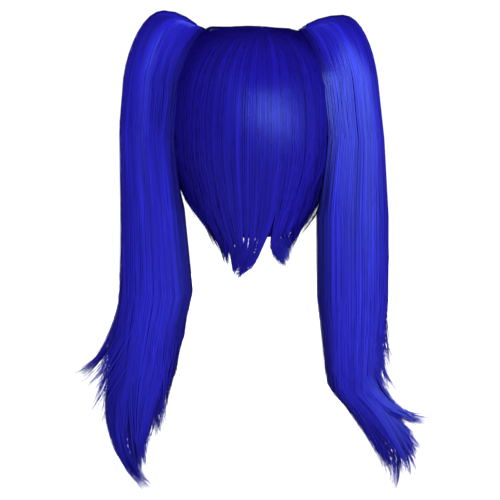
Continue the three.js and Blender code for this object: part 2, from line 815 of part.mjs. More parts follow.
const wig = new THREE.Group();
wig.add(capPiece());
wig.add(patchPiece());
for (const [name, layer] of Object.entries(layers)) {
  const finish = name.startsWith("side") ? underFibre : blueFibre;
  wig.add(piece(name, solidOf(hairLayer(layer)), finish));
}
const headHair = headHairSolid(pieceGap + facetAllowance);
wig.add(pigtailPiece("pigtail_left", 1, leftPigtail, leftTipLocks, headHair));
wig.add(pigtailPiece("pigtail_right", -1, rightPigtail, rightTipLocks, headHair));
wig.add(piece("tie_left", tieSolid(1, 0), tieBand));
wig.add(piece("tie_right", tieSolid(-1, 0), tieBand));

export default wig;
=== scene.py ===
"""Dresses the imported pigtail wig: strands of hair, cap, false skin and ties, in a small white studio."""

import logging
import math
from dataclasses import dataclass
from enum import Enum
from typing import Any, Callable, Optional, Sequence

import bpy
import numpy as np
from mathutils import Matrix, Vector


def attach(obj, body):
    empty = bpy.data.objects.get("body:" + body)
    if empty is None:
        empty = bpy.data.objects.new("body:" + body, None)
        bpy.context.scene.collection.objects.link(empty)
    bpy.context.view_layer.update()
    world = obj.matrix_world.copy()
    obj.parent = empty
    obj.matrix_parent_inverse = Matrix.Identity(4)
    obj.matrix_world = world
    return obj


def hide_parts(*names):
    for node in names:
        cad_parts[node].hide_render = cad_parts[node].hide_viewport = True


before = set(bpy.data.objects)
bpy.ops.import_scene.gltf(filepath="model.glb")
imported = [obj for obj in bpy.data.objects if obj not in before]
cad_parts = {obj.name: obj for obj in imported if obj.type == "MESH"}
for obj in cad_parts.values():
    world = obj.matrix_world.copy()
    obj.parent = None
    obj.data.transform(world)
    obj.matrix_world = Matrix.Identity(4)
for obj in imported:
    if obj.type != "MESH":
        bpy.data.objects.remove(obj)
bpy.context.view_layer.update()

LOG = logging.getLogger("wig")
BODY = "root"
MM = 0.001
Array = np.ndarray


class Side(Enum):
    """Side of the head that a pigtail or an ear layer is on; the value is the sign of its X."""

    LEFT = 1
    RIGHT = -1


def linear(hex_colour: str) -> tuple[float, float, float, float]:
    """Turns an sRGB hex colour into the linear values that Blender's sockets take.

    Args:
        hex_colour: Six hex digits, with or without a leading hash.

    Returns:
        Linear red, green, blue and an alpha of 1.
    """
    digits = hex_colour.lstrip("#")
    channels = [int(digits[i : i + 2], 16) / 255 for i in (0, 2, 4)]
    red, green, blue = [c / 12.92 if c <= 0.04045 else ((c + 0.055) / 1.055) ** 2.4 for c in channels]
    return (red, green, blue, 1.0)


def add_node(
    tree: bpy.types.NodeTree, kind: str, settings: Optional[dict[str, Any]] = None,
    values: Optional[dict[Any, Any]] = None, links: Optional[dict[Any, Any]] = None,
) -> bpy.types.Node:
    """Adds a node with its settings, its unlinked values and the sockets that feed it.

    Args:
        tree: Node tree to add to.
        kind: Blender's type name of the node.
        settings: Properties to set on the node.
        values: Default values by input name or number.
        links: Output sockets by the input name or number that each one feeds.

    Returns:
        The new node.
    """
    node = tree.nodes.new(kind)
    for name, value in (settings or {}).items():
        setattr(node, name, value)
    for name, value in (values or {}).items():
        node.inputs[name].default_value = value
    for name, socket in (links or {}).items():
        tree.links.new(socket, node.inputs[name])
    return node


class Graph:
    """A new material with its node tree, and what all the finishes share."""

    def __init__(self, name: str) -> None:
        """Makes the material and empties its tree.

        Args:
            name: Name of the material.
        """
        self.material = bpy.data.materials.new(name)
        self.material.use_nodes = True
        self.material.node_tree.nodes.clear()

    def add(
        self, kind: str, values: Optional[dict[Any, Any]] = None, links: Optional[dict[Any, Any]] = None,
        **settings: Any,
    ) -> bpy.types.Node:
        """Adds a shader node by the end of its type's name, as add_node does."""
        return add_node(self.material.node_tree, "ShaderNode" + kind, settings, values, links)

    def ramp(self, factor: bpy.types.NodeSocket, *stops: tuple[float, str]) -> bpy.types.NodeSocket:
        """Adds a colour ramp.

        Args:
            factor: Socket that drives the ramp.
            stops: Places from 0 to 1 with their sRGB hex colours, in order.

        Returns:
            The ramp's colour output.
        """
        ramp = self.add("ValToRGB", links={"Fac": factor})
        elements = ramp.color_ramp.elements
        while len(elements) < len(stops):
            elements.new(0.5)
        for element, (place, colour) in zip(elements, stops):
            element.position = place
            element.color = linear(colour)
        return ramp.outputs["Color"]

    def finish(
        self, colour: bpy.types.NodeSocket, values: dict[str, Any],
        height: Optional[bpy.types.NodeSocket] = None, strength: float = 0.0, relief: float = 0.0,
    ) -> bpy.types.Material:
        """Adds the shader, its bump and the output.

        Args:
            colour: Socket with the base colour.
            values: The shader's uniform values by input name.
            height: Socket with the bump's height, if there is a bump.
            strength: Strength of the bump.
            relief: Depth of the bump in millimetres.

        Returns:
            The finished material.
        """
        links = {"Base Color": colour}
        if height is not None:
            bump = self.add("Bump", {"Strength": strength, "Distance": relief * MM}, {"Height": height})
            links["Normal"] = bump.outputs[0]
        shader = self.add("BsdfPrincipled", values, links)
        self.add("OutputMaterial", links={"Surface": shader.outputs[0]})
        return self.material


@dataclass(frozen=True)
class FibreFinish:
    """Modacrylic wig fibre, drawn smooth from a spinneret: silky, with a gloss in the fibre's own blue."""

    name: str
    deep: str
    body: str
    bright: str
    gloss: str
    gloss_level: float = 0.42
    roughness: float = 0.38
    streak_millimetres: float = 0.35
    streak_length_millimetres: float = 70.0
    band_millimetres: float = 5.0
    band_length_millimetres: float = 140.0
    streak_share: float = 0.6
    contrast: float = 0.5

    def material(self) -> bpy.types.Material:
        """Makes the material; each strand carries its tone, random tone with painted shade in it, and its
        place along and across in attributes.

        Returns:
            The fibre material.
        """
        graph = Graph(self.name)
        # The tone attribute holds random tone by tuft and strand and painted shade: deeper, sunk and inner
        # strands and the masses under them are darker.
        tone = graph.add("Attribute", attribute_name="tone").outputs["Fac"]
        place = graph.add("Attribute", attribute_name="fibre").outputs["Vector"]
        # A real fibre is 0.08 mm thick, too fine to show, so the streaks are drawn 0.35 mm wide.
        fine = (1 / self.streak_length_millimetres, 1 / self.streak_millimetres, 0.0)
        wide = (1 / self.band_length_millimetres, 0.0, 1 / self.band_millimetres)
        noises = []
        for steps, detail, rough in ((fine, 2.0, 0.6), (wide, 1.5, 0.5)):
            scaled = graph.add("VectorMath", {1: steps}, {0: place}, operation="MULTIPLY").outputs[0]
            values = {"Scale": 1.0, "Detail": detail, "Roughness": rough}
            noises.append(graph.add("TexNoise", values, {"Vector": scaled}).outputs["Fac"])
        streaks, bands = noises
        share = {1: self.streak_share}
        mixed = graph.add("Math", share, {0: streaks, 2: bands}, operation="MULTIPLY_ADD").outputs[0]
        shift = {1: self.contrast, 2: -self.contrast * (1 + self.streak_share) / 2}
        shifted = graph.add("Math", shift, {0: mixed}, operation="MULTIPLY_ADD").outputs[0]
        blended = graph.add("Math", None, {0: tone, 1: shifted}, operation="ADD", use_clamp=True)
        # The streaks and the broad bands vary the fibre's tone at random; the lighter bands and the top gloss
        # colour of the ramp also paint in the fibre's soft sheen: painted sheen.
        stops = ((0.0, self.deep), (0.45, self.body), (0.8, self.bright), (1.0, self.gloss))
        values = {
            "Roughness": self.roughness, "IOR": 1.54, "Specular IOR Level": self.gloss_level,
            "Specular Tint": linear("#6f8cff"), "Anisotropic": 0.6,
        }
        return graph.finish(graph.ramp(blended.outputs[0], *stops), values, streaks, 0.15, 0.1)


@dataclass(frozen=True)
class NetFinish:
    """Nylon stretch net with wefts sewn on in rows: matt, dark, with an open hexagonal knit."""

    name: str = "nylon_stretch_net"
    thread: str = "#1c1a4a"
    gap: str = "#08071c"
    weft: str = "#1a1580"
    mesh_millimetres: float = 1.6
    weft_spacing_millimetres: float = 14.0

    def material(self) -> bpy.types.Material:
        """Makes the material from Object coordinates.

        Returns:
            The net material.
        """
        graph = Graph(self.name)
        place = {"Vector": graph.add("TexCoord").outputs["Object"]}
        knit = {"Scale": 1 / (self.mesh_millimetres * MM), "Randomness": 0.25}
        cells = graph.add("TexVoronoi", knit, place, feature="DISTANCE_TO_EDGE").outputs["Distance"]
        scale = 0.314 / (self.weft_spacing_millimetres * MM) / math.pi
        weft = {"Scale": scale, "Distortion": 0.6, "Detail": 1.0, "Detail Scale": 3.0}
        rows = graph.add("TexWave", weft, place, bands_direction="Z").outputs["Fac"]
        sewn = graph.add("MapRange", {"From Min": 0.82, "From Max": 0.95}, {"Value": rows}).outputs[0]
        threads = graph.ramp(cells, (0.0, self.thread), (0.12, self.gap))
        mixed = graph.add("Mix", {7: linear(self.weft)}, {0: sewn, 6: threads}, data_type="RGBA")
        return graph.finish(mixed.outputs[2], {"Roughness": 0.85, "IOR": 1.53}, rows, 0.6, 0.4)


@dataclass(frozen=True)
class SkinFinish:
    """Polyurethane false skin, cast in a thin sheet: matt and pale, with fine pores and punched hair holes."""

    name: str = "polyurethane_false_skin"
    pale: str = "#e2c3ba"
    warm: str = "#c99c92"
    pore_millimetres: float = 0.9

    def material(self) -> bpy.types.Material:
        """Makes the material from Object coordinates.

        Returns:
            The skin material.
        """
        graph = Graph(self.name)
        place = {"Vector": graph.add("TexCoord").outputs["Object"]}
        pores = graph.add("TexVoronoi", {"Scale": 1 / (self.pore_millimetres * MM)}, place)
        blotches = graph.add("TexNoise", {"Scale": 180.0, "Detail": 3.0}, place).outputs["Fac"]
        colour = graph.ramp(blotches, (0.35, self.warm), (0.6, self.pale))
        values = {"Roughness": 0.6, "IOR": 1.5, "Subsurface Weight": 0.1}
        return graph.finish(colour, values, pores.outputs["Distance"], 0.35, 0.2)


@dataclass(frozen=True)
class ElasticFinish:
    """Rubber band in a braided polyester cover: soft sheen, with the braid's fine slanted ribs."""

    name: str = "covered_elastic"
    # Colour of the grooves between the ribs, darker than the ribs: painted shade.
    groove: str = "#0b0938"
    rib: str = "#1f1a86"
    ribs_round: int = 84

    def material(self) -> bpy.types.Material:
        """Makes the material from the band's own UV map, whose U runs once round it.

        Returns:
            The elastic material.
        """
        graph = Graph(self.name)
        place = graph.add("UVMap", uv_map="UVMap").outputs[0]
        scaled = graph.add("Mapping", {"Scale": (self.ribs_round / 3.0, 5.0, 1.0)}, {"Vector": place})
        braid = {"Scale": 1.0, "Distortion": 0.4, "Detail": 1.0}
        slanted = {"Vector": scaled.outputs[0]}
        ribs = graph.add("TexWave", braid, slanted, bands_direction="DIAGONAL").outputs["Fac"]
        # The grooves between the braid's ribs are painted darker than the ribs: painted shade in the recesses.
        colour = graph.ramp(ribs, (0.2, self.groove), (0.8, self.rib))
        values = {"Roughness": 0.7, "IOR": 1.53, "Sheen Weight": 0.3, "Sheen Tint": linear("#6a66d8")}
        return graph.finish(colour, values, ribs, 0.7, 0.3)


@dataclass(frozen=True)
class PaperFinish:
    """Matt white background paper of the studio, rolled down from a bar: even, with a faint tooth."""

    name: str = "background_paper"
    white: str = "#ffffff"
    shade: str = "#fbfbfd"

    def material(self) -> bpy.types.Material:
        """Makes the material from Object coordinates.

        Returns:
            The paper material.
        """
        graph = Graph(self.name)
        place = {"Vector": graph.add("TexCoord").outputs["Object"]}
        tooth = graph.add("TexNoise", {"Scale": 60.0, "Detail": 2.0}, place).outputs["Fac"]
        colour = graph.ramp(tooth, (0.3, self.shade), (0.7, self.white))
        return graph.finish(colour, {"Roughness": 0.95, "Specular IOR Level": 0.1})


BACK_FIBRE = FibreFinish(
    "modacrylic_fibre_back", "#050234", "#0a0456", "#0e0772", "#181096", 0.26, contrast=0.6
)
# The side layers' fibre is the back's blue painted darker: painted shade on the sides under the pigtails.
SHADED_SIDE_FIBRE = FibreFinish("modacrylic_fibre_under_painted_shade", "#05022c", "#080446", "#0c065a", "#120c70", 0.3)
# The pigtails' fibre is the back's blue painted lighter: painted light on the pigtails.
LIT_TAIL_FIBRE = FibreFinish(
    "modacrylic_fibre_pigtail_painted_light", "#06023a", "#0d0762", "#130f82", "#201ca6", 0.4,
    streak_share=0.45, contrast=0.75,
)


def smooth(value: Array) -> Array:
    """Eases 0 to 1 with level ends, and holds outside them."""
    held = np.clip(value, 0.0, 1.0)
    return held * held * (3 - 2 * held)


def unit(vectors: Array) -> Array:
    """Scales vectors on the last axis to a length of 1."""
    return vectors / np.maximum(np.linalg.norm(vectors, axis=-1, keepdims=True), 1e-9)


def bezier(first: Array, second: Array, third: Array, last: Array, shares: Array) -> Array:
    """Points on cubic curves, one for each strand.

    Args:
        first: Starts, by strand.
        second: First handles.
        third: Second handles.
        last: Ends.
        shares: Shares along the curves, by strand, station and coordinate.

    Returns:
        Points, by strand and station.
    """
    one, two, three, four = (points[:, None] for points in (first, second, third, last))
    rest = 1 - shares
    return one * rest**3 + two * 3 * shares * rest**2 + three * 3 * shares**2 * rest + four * shares**3


def curve_at(places: Array, stations: Sequence[float], values: Sequence[float]) -> Array:
    """Reads a smooth curve through a table's values.

    Args:
        places: Where to read it.
        stations: The table's rising stations.
        values: The value at each station.

    Returns:
        The value at each place, held level beyond the table's ends.
    """
    x = np.asarray(stations, dtype=float)
    y = np.asarray(values, dtype=float)
    slopes = np.gradient(y, x)
    held = np.clip(places, x[0], x[-1])
    row = np.clip(np.searchsorted(x, held, side="right") - 1, 0, len(x) - 2)
    gap = x[row + 1] - x[row]
    t = (held - x[row]) / gap
    start = (1 + 2 * t) * (1 - t) ** 2 * y[row] + t * (1 - t) ** 2 * gap * slopes[row]
    end = t * t * (3 - 2 * t) * y[row + 1] + t * t * (t - 1) * gap * slopes[row + 1]
    return start + end


@dataclass
class Strands:
    """Many tapered strands of hair, in millimetres: middle lines, outward sides, widths, tones and places
    across the bundle."""

    paths: Array
    outward: Array
    widths: Array
    tones_and_shade: Array
    bundle: Array
    seed: int = 1
    ridge: float = 0.12

    def corners(self) -> Array:
        """Works out the three corners of each strand's section at each station.

        Returns:
            Corners, by strand, station and corner: two on the layer below and a raised ridge.
        """
        along = unit(np.gradient(self.paths, axis=1))
        across = unit(np.cross(along, self.outward))
        raised = np.cross(across, along)
        half = self.widths[..., None] / 2
        return np.stack(
            [
                self.paths - across * half, self.paths + across * half,
                self.paths + raised * half * 2 * self.ridge,
            ],
            axis=2,
        )

    def pieces(self, name: str, most: int = 195000) -> list[bpy.types.Object]:
        """Builds the strands as few meshes, none with too many triangles.

        Args:
            name: Name of the new objects, which get a number each if there are several.
            most: Most triangles in a mesh.

        Returns:
            The objects, linked to the scene.
        """
        count, stations = self.widths.shape
        triangles = count * ((stations - 2) * 6 + 4)
        groups = math.ceil(triangles / most)
        made = []
        for number in range(groups):
            taken = slice(number, None, groups)
            whole = (self.paths, self.outward, self.widths, self.tones_and_shade, self.bundle)
            part = Strands(*(values[taken] for values in whole), self.seed + number)
            made.append(part.mesh(name if groups == 1 else f"{name}_{number + 1}"))
        return made

    def mesh(self, name: str) -> bpy.types.Object:
        """Builds one mesh of closed strands, with each strand's tone and fibre direction as attributes.

        Args:
            name: Name of the new object.

        Returns:
            The object, linked to the scene.
        """
        count, stations = self.widths.shape
        rings = stations - 1
        body = self.corners()[:, :rings].reshape(count, rings * 3, 3)
        points = np.concatenate([body, self.paths[:, -1:]], axis=1).reshape(-1, 3) * MM
        edges = ((0, 1), (1, 2), (2, 0))
        last = (rings - 1) * 3
        tip = rings * 3
        quads = [(k + i, k + 3 + i, k + 3 + j, k + j) for k in range(0, last, 3) for i, j in edges]
        triangles = [(0, 1, 2)] + [(last + i, tip, last + j) for i, j in edges]
        base = (np.arange(count) * (tip + 1))[:, None, None]
        corners = np.concatenate([(base + np.array(faces)).ravel() for faces in (quads, triangles)])
        fours = count * len(quads)
        threes = fours * 4 + np.arange(count * len(triangles)) * 3
        starts = np.concatenate([np.arange(fours) * 4, threes])
        mesh = bpy.data.meshes.new(name)
        mesh.vertices.add(len(points))
        mesh.vertices.foreach_set("co", points.ravel())
        mesh.loops.add(len(corners))
        mesh.loops.foreach_set("vertex_index", corners.astype(np.int32))
        mesh.polygons.add(len(starts))
        mesh.polygons.foreach_set("loop_start", starts.astype(np.int32))
        mesh.update(calc_edges=True)
        mesh.shade_smooth()
        self.add_attributes(mesh)
        made = bpy.data.objects.new(name, mesh)
        bpy.context.scene.collection.objects.link(made)
        make_active(made)
        bpy.ops.object.shade_smooth_by_angle(angle=math.radians(50.0))
        deselect_all()
        return made

    def add_attributes(self, mesh: bpy.types.Mesh) -> None:
        """Writes each strand's tone, and the places along it, across it and across the bundle.

        Args:
            mesh: The mesh of all the strands.
        """
        count, stations = self.widths.shape
        rings = stations - 1
        rng = np.random.default_rng(self.seed)
        steps = np.linalg.norm(np.diff(self.paths, axis=1), axis=2)
        along = np.concatenate([np.zeros((count, 1)), np.cumsum(steps, axis=1)], axis=1)
        offset = rng.random((count, 1)) * 400
        half = self.widths / 2
        fibre = np.zeros((count, rings * 3 + 1, 3))
        for corner, sign in enumerate((-1.0, 1.0, 0.0)):
            fibre[:, corner : rings * 3 : 3, 0] = along[:, :rings]
            fibre[:, corner : rings * 3 : 3, 1] = sign * half[:, :rings] + offset
        fibre[:, -1, 0] = along[:, -1]
        fibre[:, -1, 1] = offset[:, 0]
        fibre[..., 2] = self.bundle[:, None]
        write_attributes(mesh, fibre, np.repeat(self.tones_and_shade, rings * 3 + 1))


@dataclass(frozen=True)
class Dome:
    """Outer form of the hair on the head, in millimetres, whose pole is shifted to the whorl."""

    side: float = 90.0
    back: float = 108.0
    front: float = 103.0
    top: float = 7.0
    depth: float = 107.0
    roundness: float = 2.5
    whorl_right: float = 12.0
    whorl_back: float = 12.0

    def lift_at(self, share: Array) -> Array:
        """Height left, as a share, at a share of the reach."""
        return (1 - np.clip(share, 0, 1) ** self.roundness) ** (1 / self.roundness)

    def height_of(self, level: Array) -> Array:
        """Height at a level, which counts 0 at the top and 1 at the widest place.

        Args:
            level: Levels.

        Returns:
            Heights in millimetres.
        """
        over = self.top - self.depth * (1 - np.cos(np.minimum(level, 1) * math.pi / 2))
        return np.where(level < 1, over, self.top - self.depth * (1 + (level - 1) * math.pi / 2))

    def level_of(self, height: Array) -> Array:
        """Level at a height, the other way round from height_of.

        Args:
            height: Heights in millimetres.

        Returns:
            Levels.
        """
        drop = (self.top - height) / self.depth
        over = np.arccos(np.clip(1 - drop, -1, 1)) / (math.pi / 2)
        return np.where(drop < 1, over, 1 + (drop - 1) / (math.pi / 2))

    def side_at(self, height: Array, back: Array) -> Array:
        """How far out the hair on the head reaches at a height and a distance to the back.

        Args:
            height: Heights in millimetres.
            back: Distances behind the middle in millimetres.

        Returns:
            Distances from the middle of the head in millimetres.
        """
        left = np.clip(1 - (self.top - height) / self.depth, 0, 1)
        reach = self.lift_at(left)
        along = np.clip(np.abs(back) / self.back, 0, 0.999)
        return self.side * np.sqrt(np.maximum(reach**2 - along**2, 0))

    def points(self, turn: Array, level: Array, left: Callable[[Array], Sequence[Array]]) -> Array:
        """Points on the form.

        Args:
            turn: Turns from the back of the head towards +X, in radians.
            level: Levels, of the same shape.
            left: Gives the shares of the width and depth that are left at heights below the widest place.

        Returns:
            Points in millimetres, with the coordinates on the last axis.
        """
        sideways = np.sin(turn)
        backwards = np.cos(turn)
        along = np.where(backwards > 0, self.back, self.front)
        height = self.height_of(level)
        width, depth = left(height)
        below = np.stack([self.side * width * sideways, along * depth * backwards, height], axis=-1)
        reach = self.lift_at(np.cos(np.minimum(level, 1) * math.pi / 2))
        shift = (1 - np.minimum(level, 1)) ** 2
        x = self.side * reach * sideways - self.whorl_right * shift
        y = along * reach * backwards + self.whorl_back * shift
        here = np.where(y > 0, self.back, self.front)
        share = np.minimum(1, np.hypot(x / self.side, y / here))
        over = np.stack([x, y, self.top - self.depth * (1 - self.lift_at(share))], axis=-1)
        return np.where((level < 1)[..., None], over, below)

    def outward(self, points: Array, level: Array) -> Array:
        """Directions away from the head at points on the form.

        Args:
            points: Points in millimetres.
            level: Their levels.

        Returns:
            Unit vectors.
        """
        along = np.where(points[..., 1] > 0, self.back, self.front)
        flat = unit(np.stack([points[..., 0] / self.side**2, points[..., 1] / along**2], axis=-1))
        tilt = np.minimum(1, level) * math.pi / 2
        sideways = np.sin(tilt)[..., None]
        return np.concatenate([flat * sideways, np.cos(tilt)[..., None]], axis=-1)


HEAD_HAIR = Dome()


class Hair:
    """What the layers on the head and the pigtails share."""

    def build(self) -> list[bpy.types.Object]:
        """Builds the strands and the mass under them, and dresses both.

        Returns:
            The pieces.
        """
        material = self.finish.material()
        core = self.core()
        # The mass under the strands is painted 0.12 darker in tone than its strands: painted shade under and
        # between them.
        plain_attributes(core, self.tone - 0.12)
        made = [*self.strands().pieces(f"{self.node}_strands"), core]
        for piece in made:
            dress(piece, material, self.node)
        return made


@dataclass
class HeadLayer(Hair):
    """A layer of hair on the head, from the whorl to ragged locks, with a dense mass under its strands."""

    node: str
    slot: str
    finish: FibreFinish
    from_degrees: float
    to_degrees: float
    fall_length: float
    notch: float
    form: Sequence[tuple[float, float, float]]
    locks: Sequence[tuple[float, float]]
    count: int
    seed: int
    tufts_to_lock: int = 5
    stations: int = 14
    strand_width: float = 0.78
    sway_length: float = 30.0
    sway_curve: float = 24.0
    groove: float = 1.2
    overlap_degrees: float = 0.0
    pulled_up: tuple[float, float] = (6.5, 4.0)
    pointed: float = 0.65
    first_level: float = 0.03
    core_depth: float = 5.0
    core_thickness: float = 2.0
    core_bottom: float = -170.0
    crease_fill: float = 3.5
    tone: float = 0.45

    def left_at(self, height: Array) -> Sequence[Array]:
        """Shares of the full width and of the full depth that are left at heights in millimetres."""
        table = np.array(self.form)
        return [curve_at((-100.0 - height) / self.fall_length, table[:, 0], table[:, n]) for n in (1, 2)]

    def strands(self) -> Strands:
        """Lays the strands in tufts along the layer's form, with tips that gather into locks.

        Returns:
            The strands.
        """
        rng = np.random.default_rng(self.seed)
        count = self.count
        lock_count = len(self.locks)
        tufts = lock_count * self.tufts_to_lock
        column = (np.arange(count) + rng.random(count)) / count
        tuft = np.minimum((column * tufts).astype(int), tufts - 1)
        jitter = rng.uniform(-0.25, 0.25, tufts)
        middle = (np.arange(tufts) + 0.5 + jitter)[tuft] / tufts
        lock = np.minimum((middle * lock_count).astype(int), lock_count - 1)
        in_lock = 1 - np.abs(2 * (middle * lock_count - lock) - 1)
        tips = np.array(self.locks)
        shorter = rng.uniform(-0.015, 0.045, tufts)[tuft]
        astray = rng.normal(0, 0.075, tufts)[tuft]
        off = (column - middle) * tufts
        tip_fall = tips[lock, 0] - self.notch * (1 - in_lock) - shorter
        tip_fall = tip_fall - 0.04 * np.abs(off) - np.minimum(rng.exponential(0.022, count), 0.2)
        end = HEAD_HAIR.level_of(-100.0 - tip_fall * self.fall_length)
        late = rng.random(count) < 0.45
        near = self.first_level * (0.15 + 0.85 * np.minimum(1, rng.random(count) * 3))
        start = np.where(late, rng.random(count) * 0.9 + 0.08, near + 0.01 * rng.random(count))
        inset = np.where(late, rng.uniform(0.6, 3.6, count), rng.uniform(0.0, 1.3, count))
        share = np.linspace(0, 1, self.stations)[None]
        level = start[:, None] + (end - start)[:, None] * share
        whole = np.clip(level - self.first_level, 0, None) / (end[:, None] - self.first_level)
        lane = column[:, None] + (middle - column)[:, None] * 0.4 * whole**4
        lock_middle = ((lock + 0.5) / lock_count)[:, None]
        lane = lane + (lock_middle - lane) * self.pointed * whole**14
        lane = lane + 0.0035 * np.sin(
            whole * rng.uniform(2.5, 6.0, (count, 1)) + rng.random((count, 1)) * 6.28
        ) * (1 - 0.5 * whole)
        inward = math.copysign(self.overlap_degrees, self.to_degrees - self.from_degrees)
        start_turn = math.radians(self.from_degrees - inward)
        end_turn = math.radians(self.to_degrees)
        turn = start_turn + (end_turn - start_turn) * np.clip(lane, 0.0, 1.0)
        points = HEAD_HAIR.points(turn, level, self.left_at)
        outward = HEAD_HAIR.outward(points, level)
        in_tuft = np.abs(off)[:, None] * 2
        sunk = inset[:, None] + self.groove * (1 - in_lock)[:, None] * np.minimum(1, whole / 0.5)
        sunk = sunk + 0.5 * np.clip(in_tuft, 0, 1) ** 2 * np.minimum(1, whole / 0.4)
        covered = (column * abs(end_turn - start_turn) < math.radians(self.overlap_degrees))[:, None]
        sunk = sunk + np.where(covered, 4.0, 0.0)
        sunk = sunk + np.where(late[:, None], 3.0, 1.0) * (1 - smooth(share / 0.14))
        points = points - outward * (sunk - self.crease_lift(points))[..., None]
        apart = (np.abs(points[..., 0]) - 50.0) ** 2 + (points[..., 1] - 12.0) ** 2
        lift = np.where(points[..., 0] > 0, *self.pulled_up)
        points[..., 2] += lift * np.exp(-apart / 350.0)
        swung = np.clip(whole, 0, 1) ** self.sway_curve
        points[..., 0] += self.sway_length * (tips[lock, 1] + astray)[:, None] * swung
        taper = 1 - 0.85 * smooth((share - 0.86) / 0.14)
        widths = self.strand_width * rng.uniform(0.7, 1.25, (count, 1)) * taper
        widths = widths * (0.4 + 0.6 * smooth(whole / 0.3))
        tuft_tone = rng.normal(0, 0.03, tufts)[tuft]
        # Strands sunk deeper under the others are painted darker by their inset: painted shade; the rest of
        # the tone differs at random by tuft and strand.
        tones_and_shade = self.tone + tuft_tone + rng.normal(0, 0.08, count) - inset * 0.03
        bundle = column * abs(end_turn - start_turn) * HEAD_HAIR.side
        return Strands(points, outward, widths, tones_and_shade, bundle, self.seed)

    def crease_lift(self, points: Array) -> Array:
        """How far the hair is drawn up beside the creases where it meets the pigtails.

        Args:
            points: Points on the form in millimetres.

        Returns:
            Lifts in millimetres.
        """
        line = 51.0 - 0.5 * points[..., 2]
        beside = np.exp(-(((np.abs(points[..., 0]) - line) / 9.0) ** 2))
        reached = smooth((points[..., 2] + 64.0) / 14.0) * smooth(points[..., 1] / 10.0)
        return self.crease_fill * beside * reached

    def core(self) -> bpy.types.Object:
        """Lofts the dense mass under the strands from level rings, cut to the layer's turns.

        Returns:
            The mass as one object.
        """
        bottom = float(HEAD_HAIR.level_of(np.array(self.core_bottom)))
        levels = np.concatenate([np.linspace(0.12, 1.0, 11), np.linspace(1.0, bottom, 8)[1:]])
        rings = []
        for level in levels:
            turns = np.radians(np.array([90.0, -90.0, 0.0, 180.0]))
            ends = HEAD_HAIR.points(turns, np.full(4, level), self.left_at)
            out = HEAD_HAIR.outward(ends, np.full(4, level))
            ends = ends - out * self.core_depth
            centre = (ends[0] + ends[1]) / 2
            centre[1] = (ends[2][1] + ends[3][1]) / 2
            half = ((ends[0][0] - ends[1][0]) / 2, (ends[2][1] - ends[3][1]) / 2)
            rings.append((centre, half))
        made = loft_rings(f"{self.node}_mass", rings, 72)
        cut_to_turns(made, self.from_degrees, self.to_degrees)
        thicken(made, self.core_thickness)
        return made


def deselect_all() -> None:
    """Leaves nothing selected and no object active."""
    for thing in bpy.context.selected_objects:
        thing.select_set(False)
    bpy.context.view_layer.objects.active = None


def make_active(piece: bpy.types.Object) -> None:
    """Selects one object alone and makes it active.

    Args:
        piece: The object.
    """
    deselect_all()
    piece.select_set(True)
    bpy.context.view_layer.objects.active = piece


def loft_rings(
    name: str, rings: Sequence[tuple[Sequence[float], Sequence[float]]], sides: int, closed: bool = False
) -> bpy.types.Object:
    """Bridges level rings into one surface.

    Args:
        name: Name of the new object.
        rings: Centre and half width and half depth of each ring, in millimetres, from the top down.
        sides: Number of corners of a ring.
        closed: Whether the first and last rings are filled.

    Returns:
        The lofted object, whose place is in its mesh.
    """
    deselect_all()
    made = []
    for centre, half in rings:
        bpy.ops.mesh.primitive_circle_add(
            vertices=sides, radius=1.0,
            fill_type="NGON" if closed and len(made) in (0, len(rings) - 1) else "NOTHING",
            location=[c * MM for c in centre],
        )
        ring = bpy.context.active_object
        ring.scale = (half[0] * MM, half[1] * MM, 1.0)
        made.append(ring)
    deselect_all()
    for ring in made:
        ring.select_set(True)
    bpy.context.view_layer.objects.active = made[0]
    bpy.ops.object.transform_apply(location=True, rotation=True, scale=True)
    bpy.ops.object.join()
    piece = bpy.context.active_object
    piece.name = name
    piece.data.name = name
    bpy.ops.object.mode_set(mode="EDIT")
    bpy.ops.mesh.select_all(action="SELECT")
    bpy.ops.mesh.bridge_edge_loops(type="PAIRS" if len(rings) == 2 else "SINGLE")
    bpy.ops.mesh.select_all(action="SELECT")
    bpy.ops.mesh.normals_make_consistent(inside=False)
    bpy.ops.object.mode_set(mode="OBJECT")
    bpy.ops.object.shade_smooth()
    return piece


def cut_to_turns(piece: bpy.types.Object, from_degrees: float, to_degrees: float) -> None:
    """Bisects a lofted dome at two upright planes and keeps what lies between its turns.

    Args:
        piece: The dome.
        from_degrees: First turn from the back of the head towards +X.
        to_degrees: Second turn.
    """
    make_active(piece)
    sign = 1.0 if to_degrees > from_degrees else -1.0
    span = abs(to_degrees - from_degrees)
    for degrees, side in ((from_degrees, sign), (to_degrees, -sign)):
        turn = math.radians(degrees)
        normal = Vector((math.cos(turn), -math.sin(turn), 0.0)) * side
        bpy.ops.object.mode_set(mode="EDIT")
        bpy.ops.mesh.select_all(action="SELECT")
        bpy.ops.mesh.bisect(
            plane_co=(0.0, 0.0, 0.0), plane_no=normal, clear_inner=span < 180, clear_outer=False
        )
        bpy.ops.object.mode_set(mode="OBJECT")


def thicken(piece: bpy.types.Object, thickness: float) -> None:
    """Gives a surface a wall towards its inside.

    Args:
        piece: The surface.
        thickness: Thickness of the wall in millimetres.
    """
    make_active(piece)
    wall = piece.modifiers.new("wall", "SOLIDIFY")
    wall.thickness = thickness * MM
    wall.offset = -1.0
    bpy.ops.object.modifier_apply(modifier=wall.name)


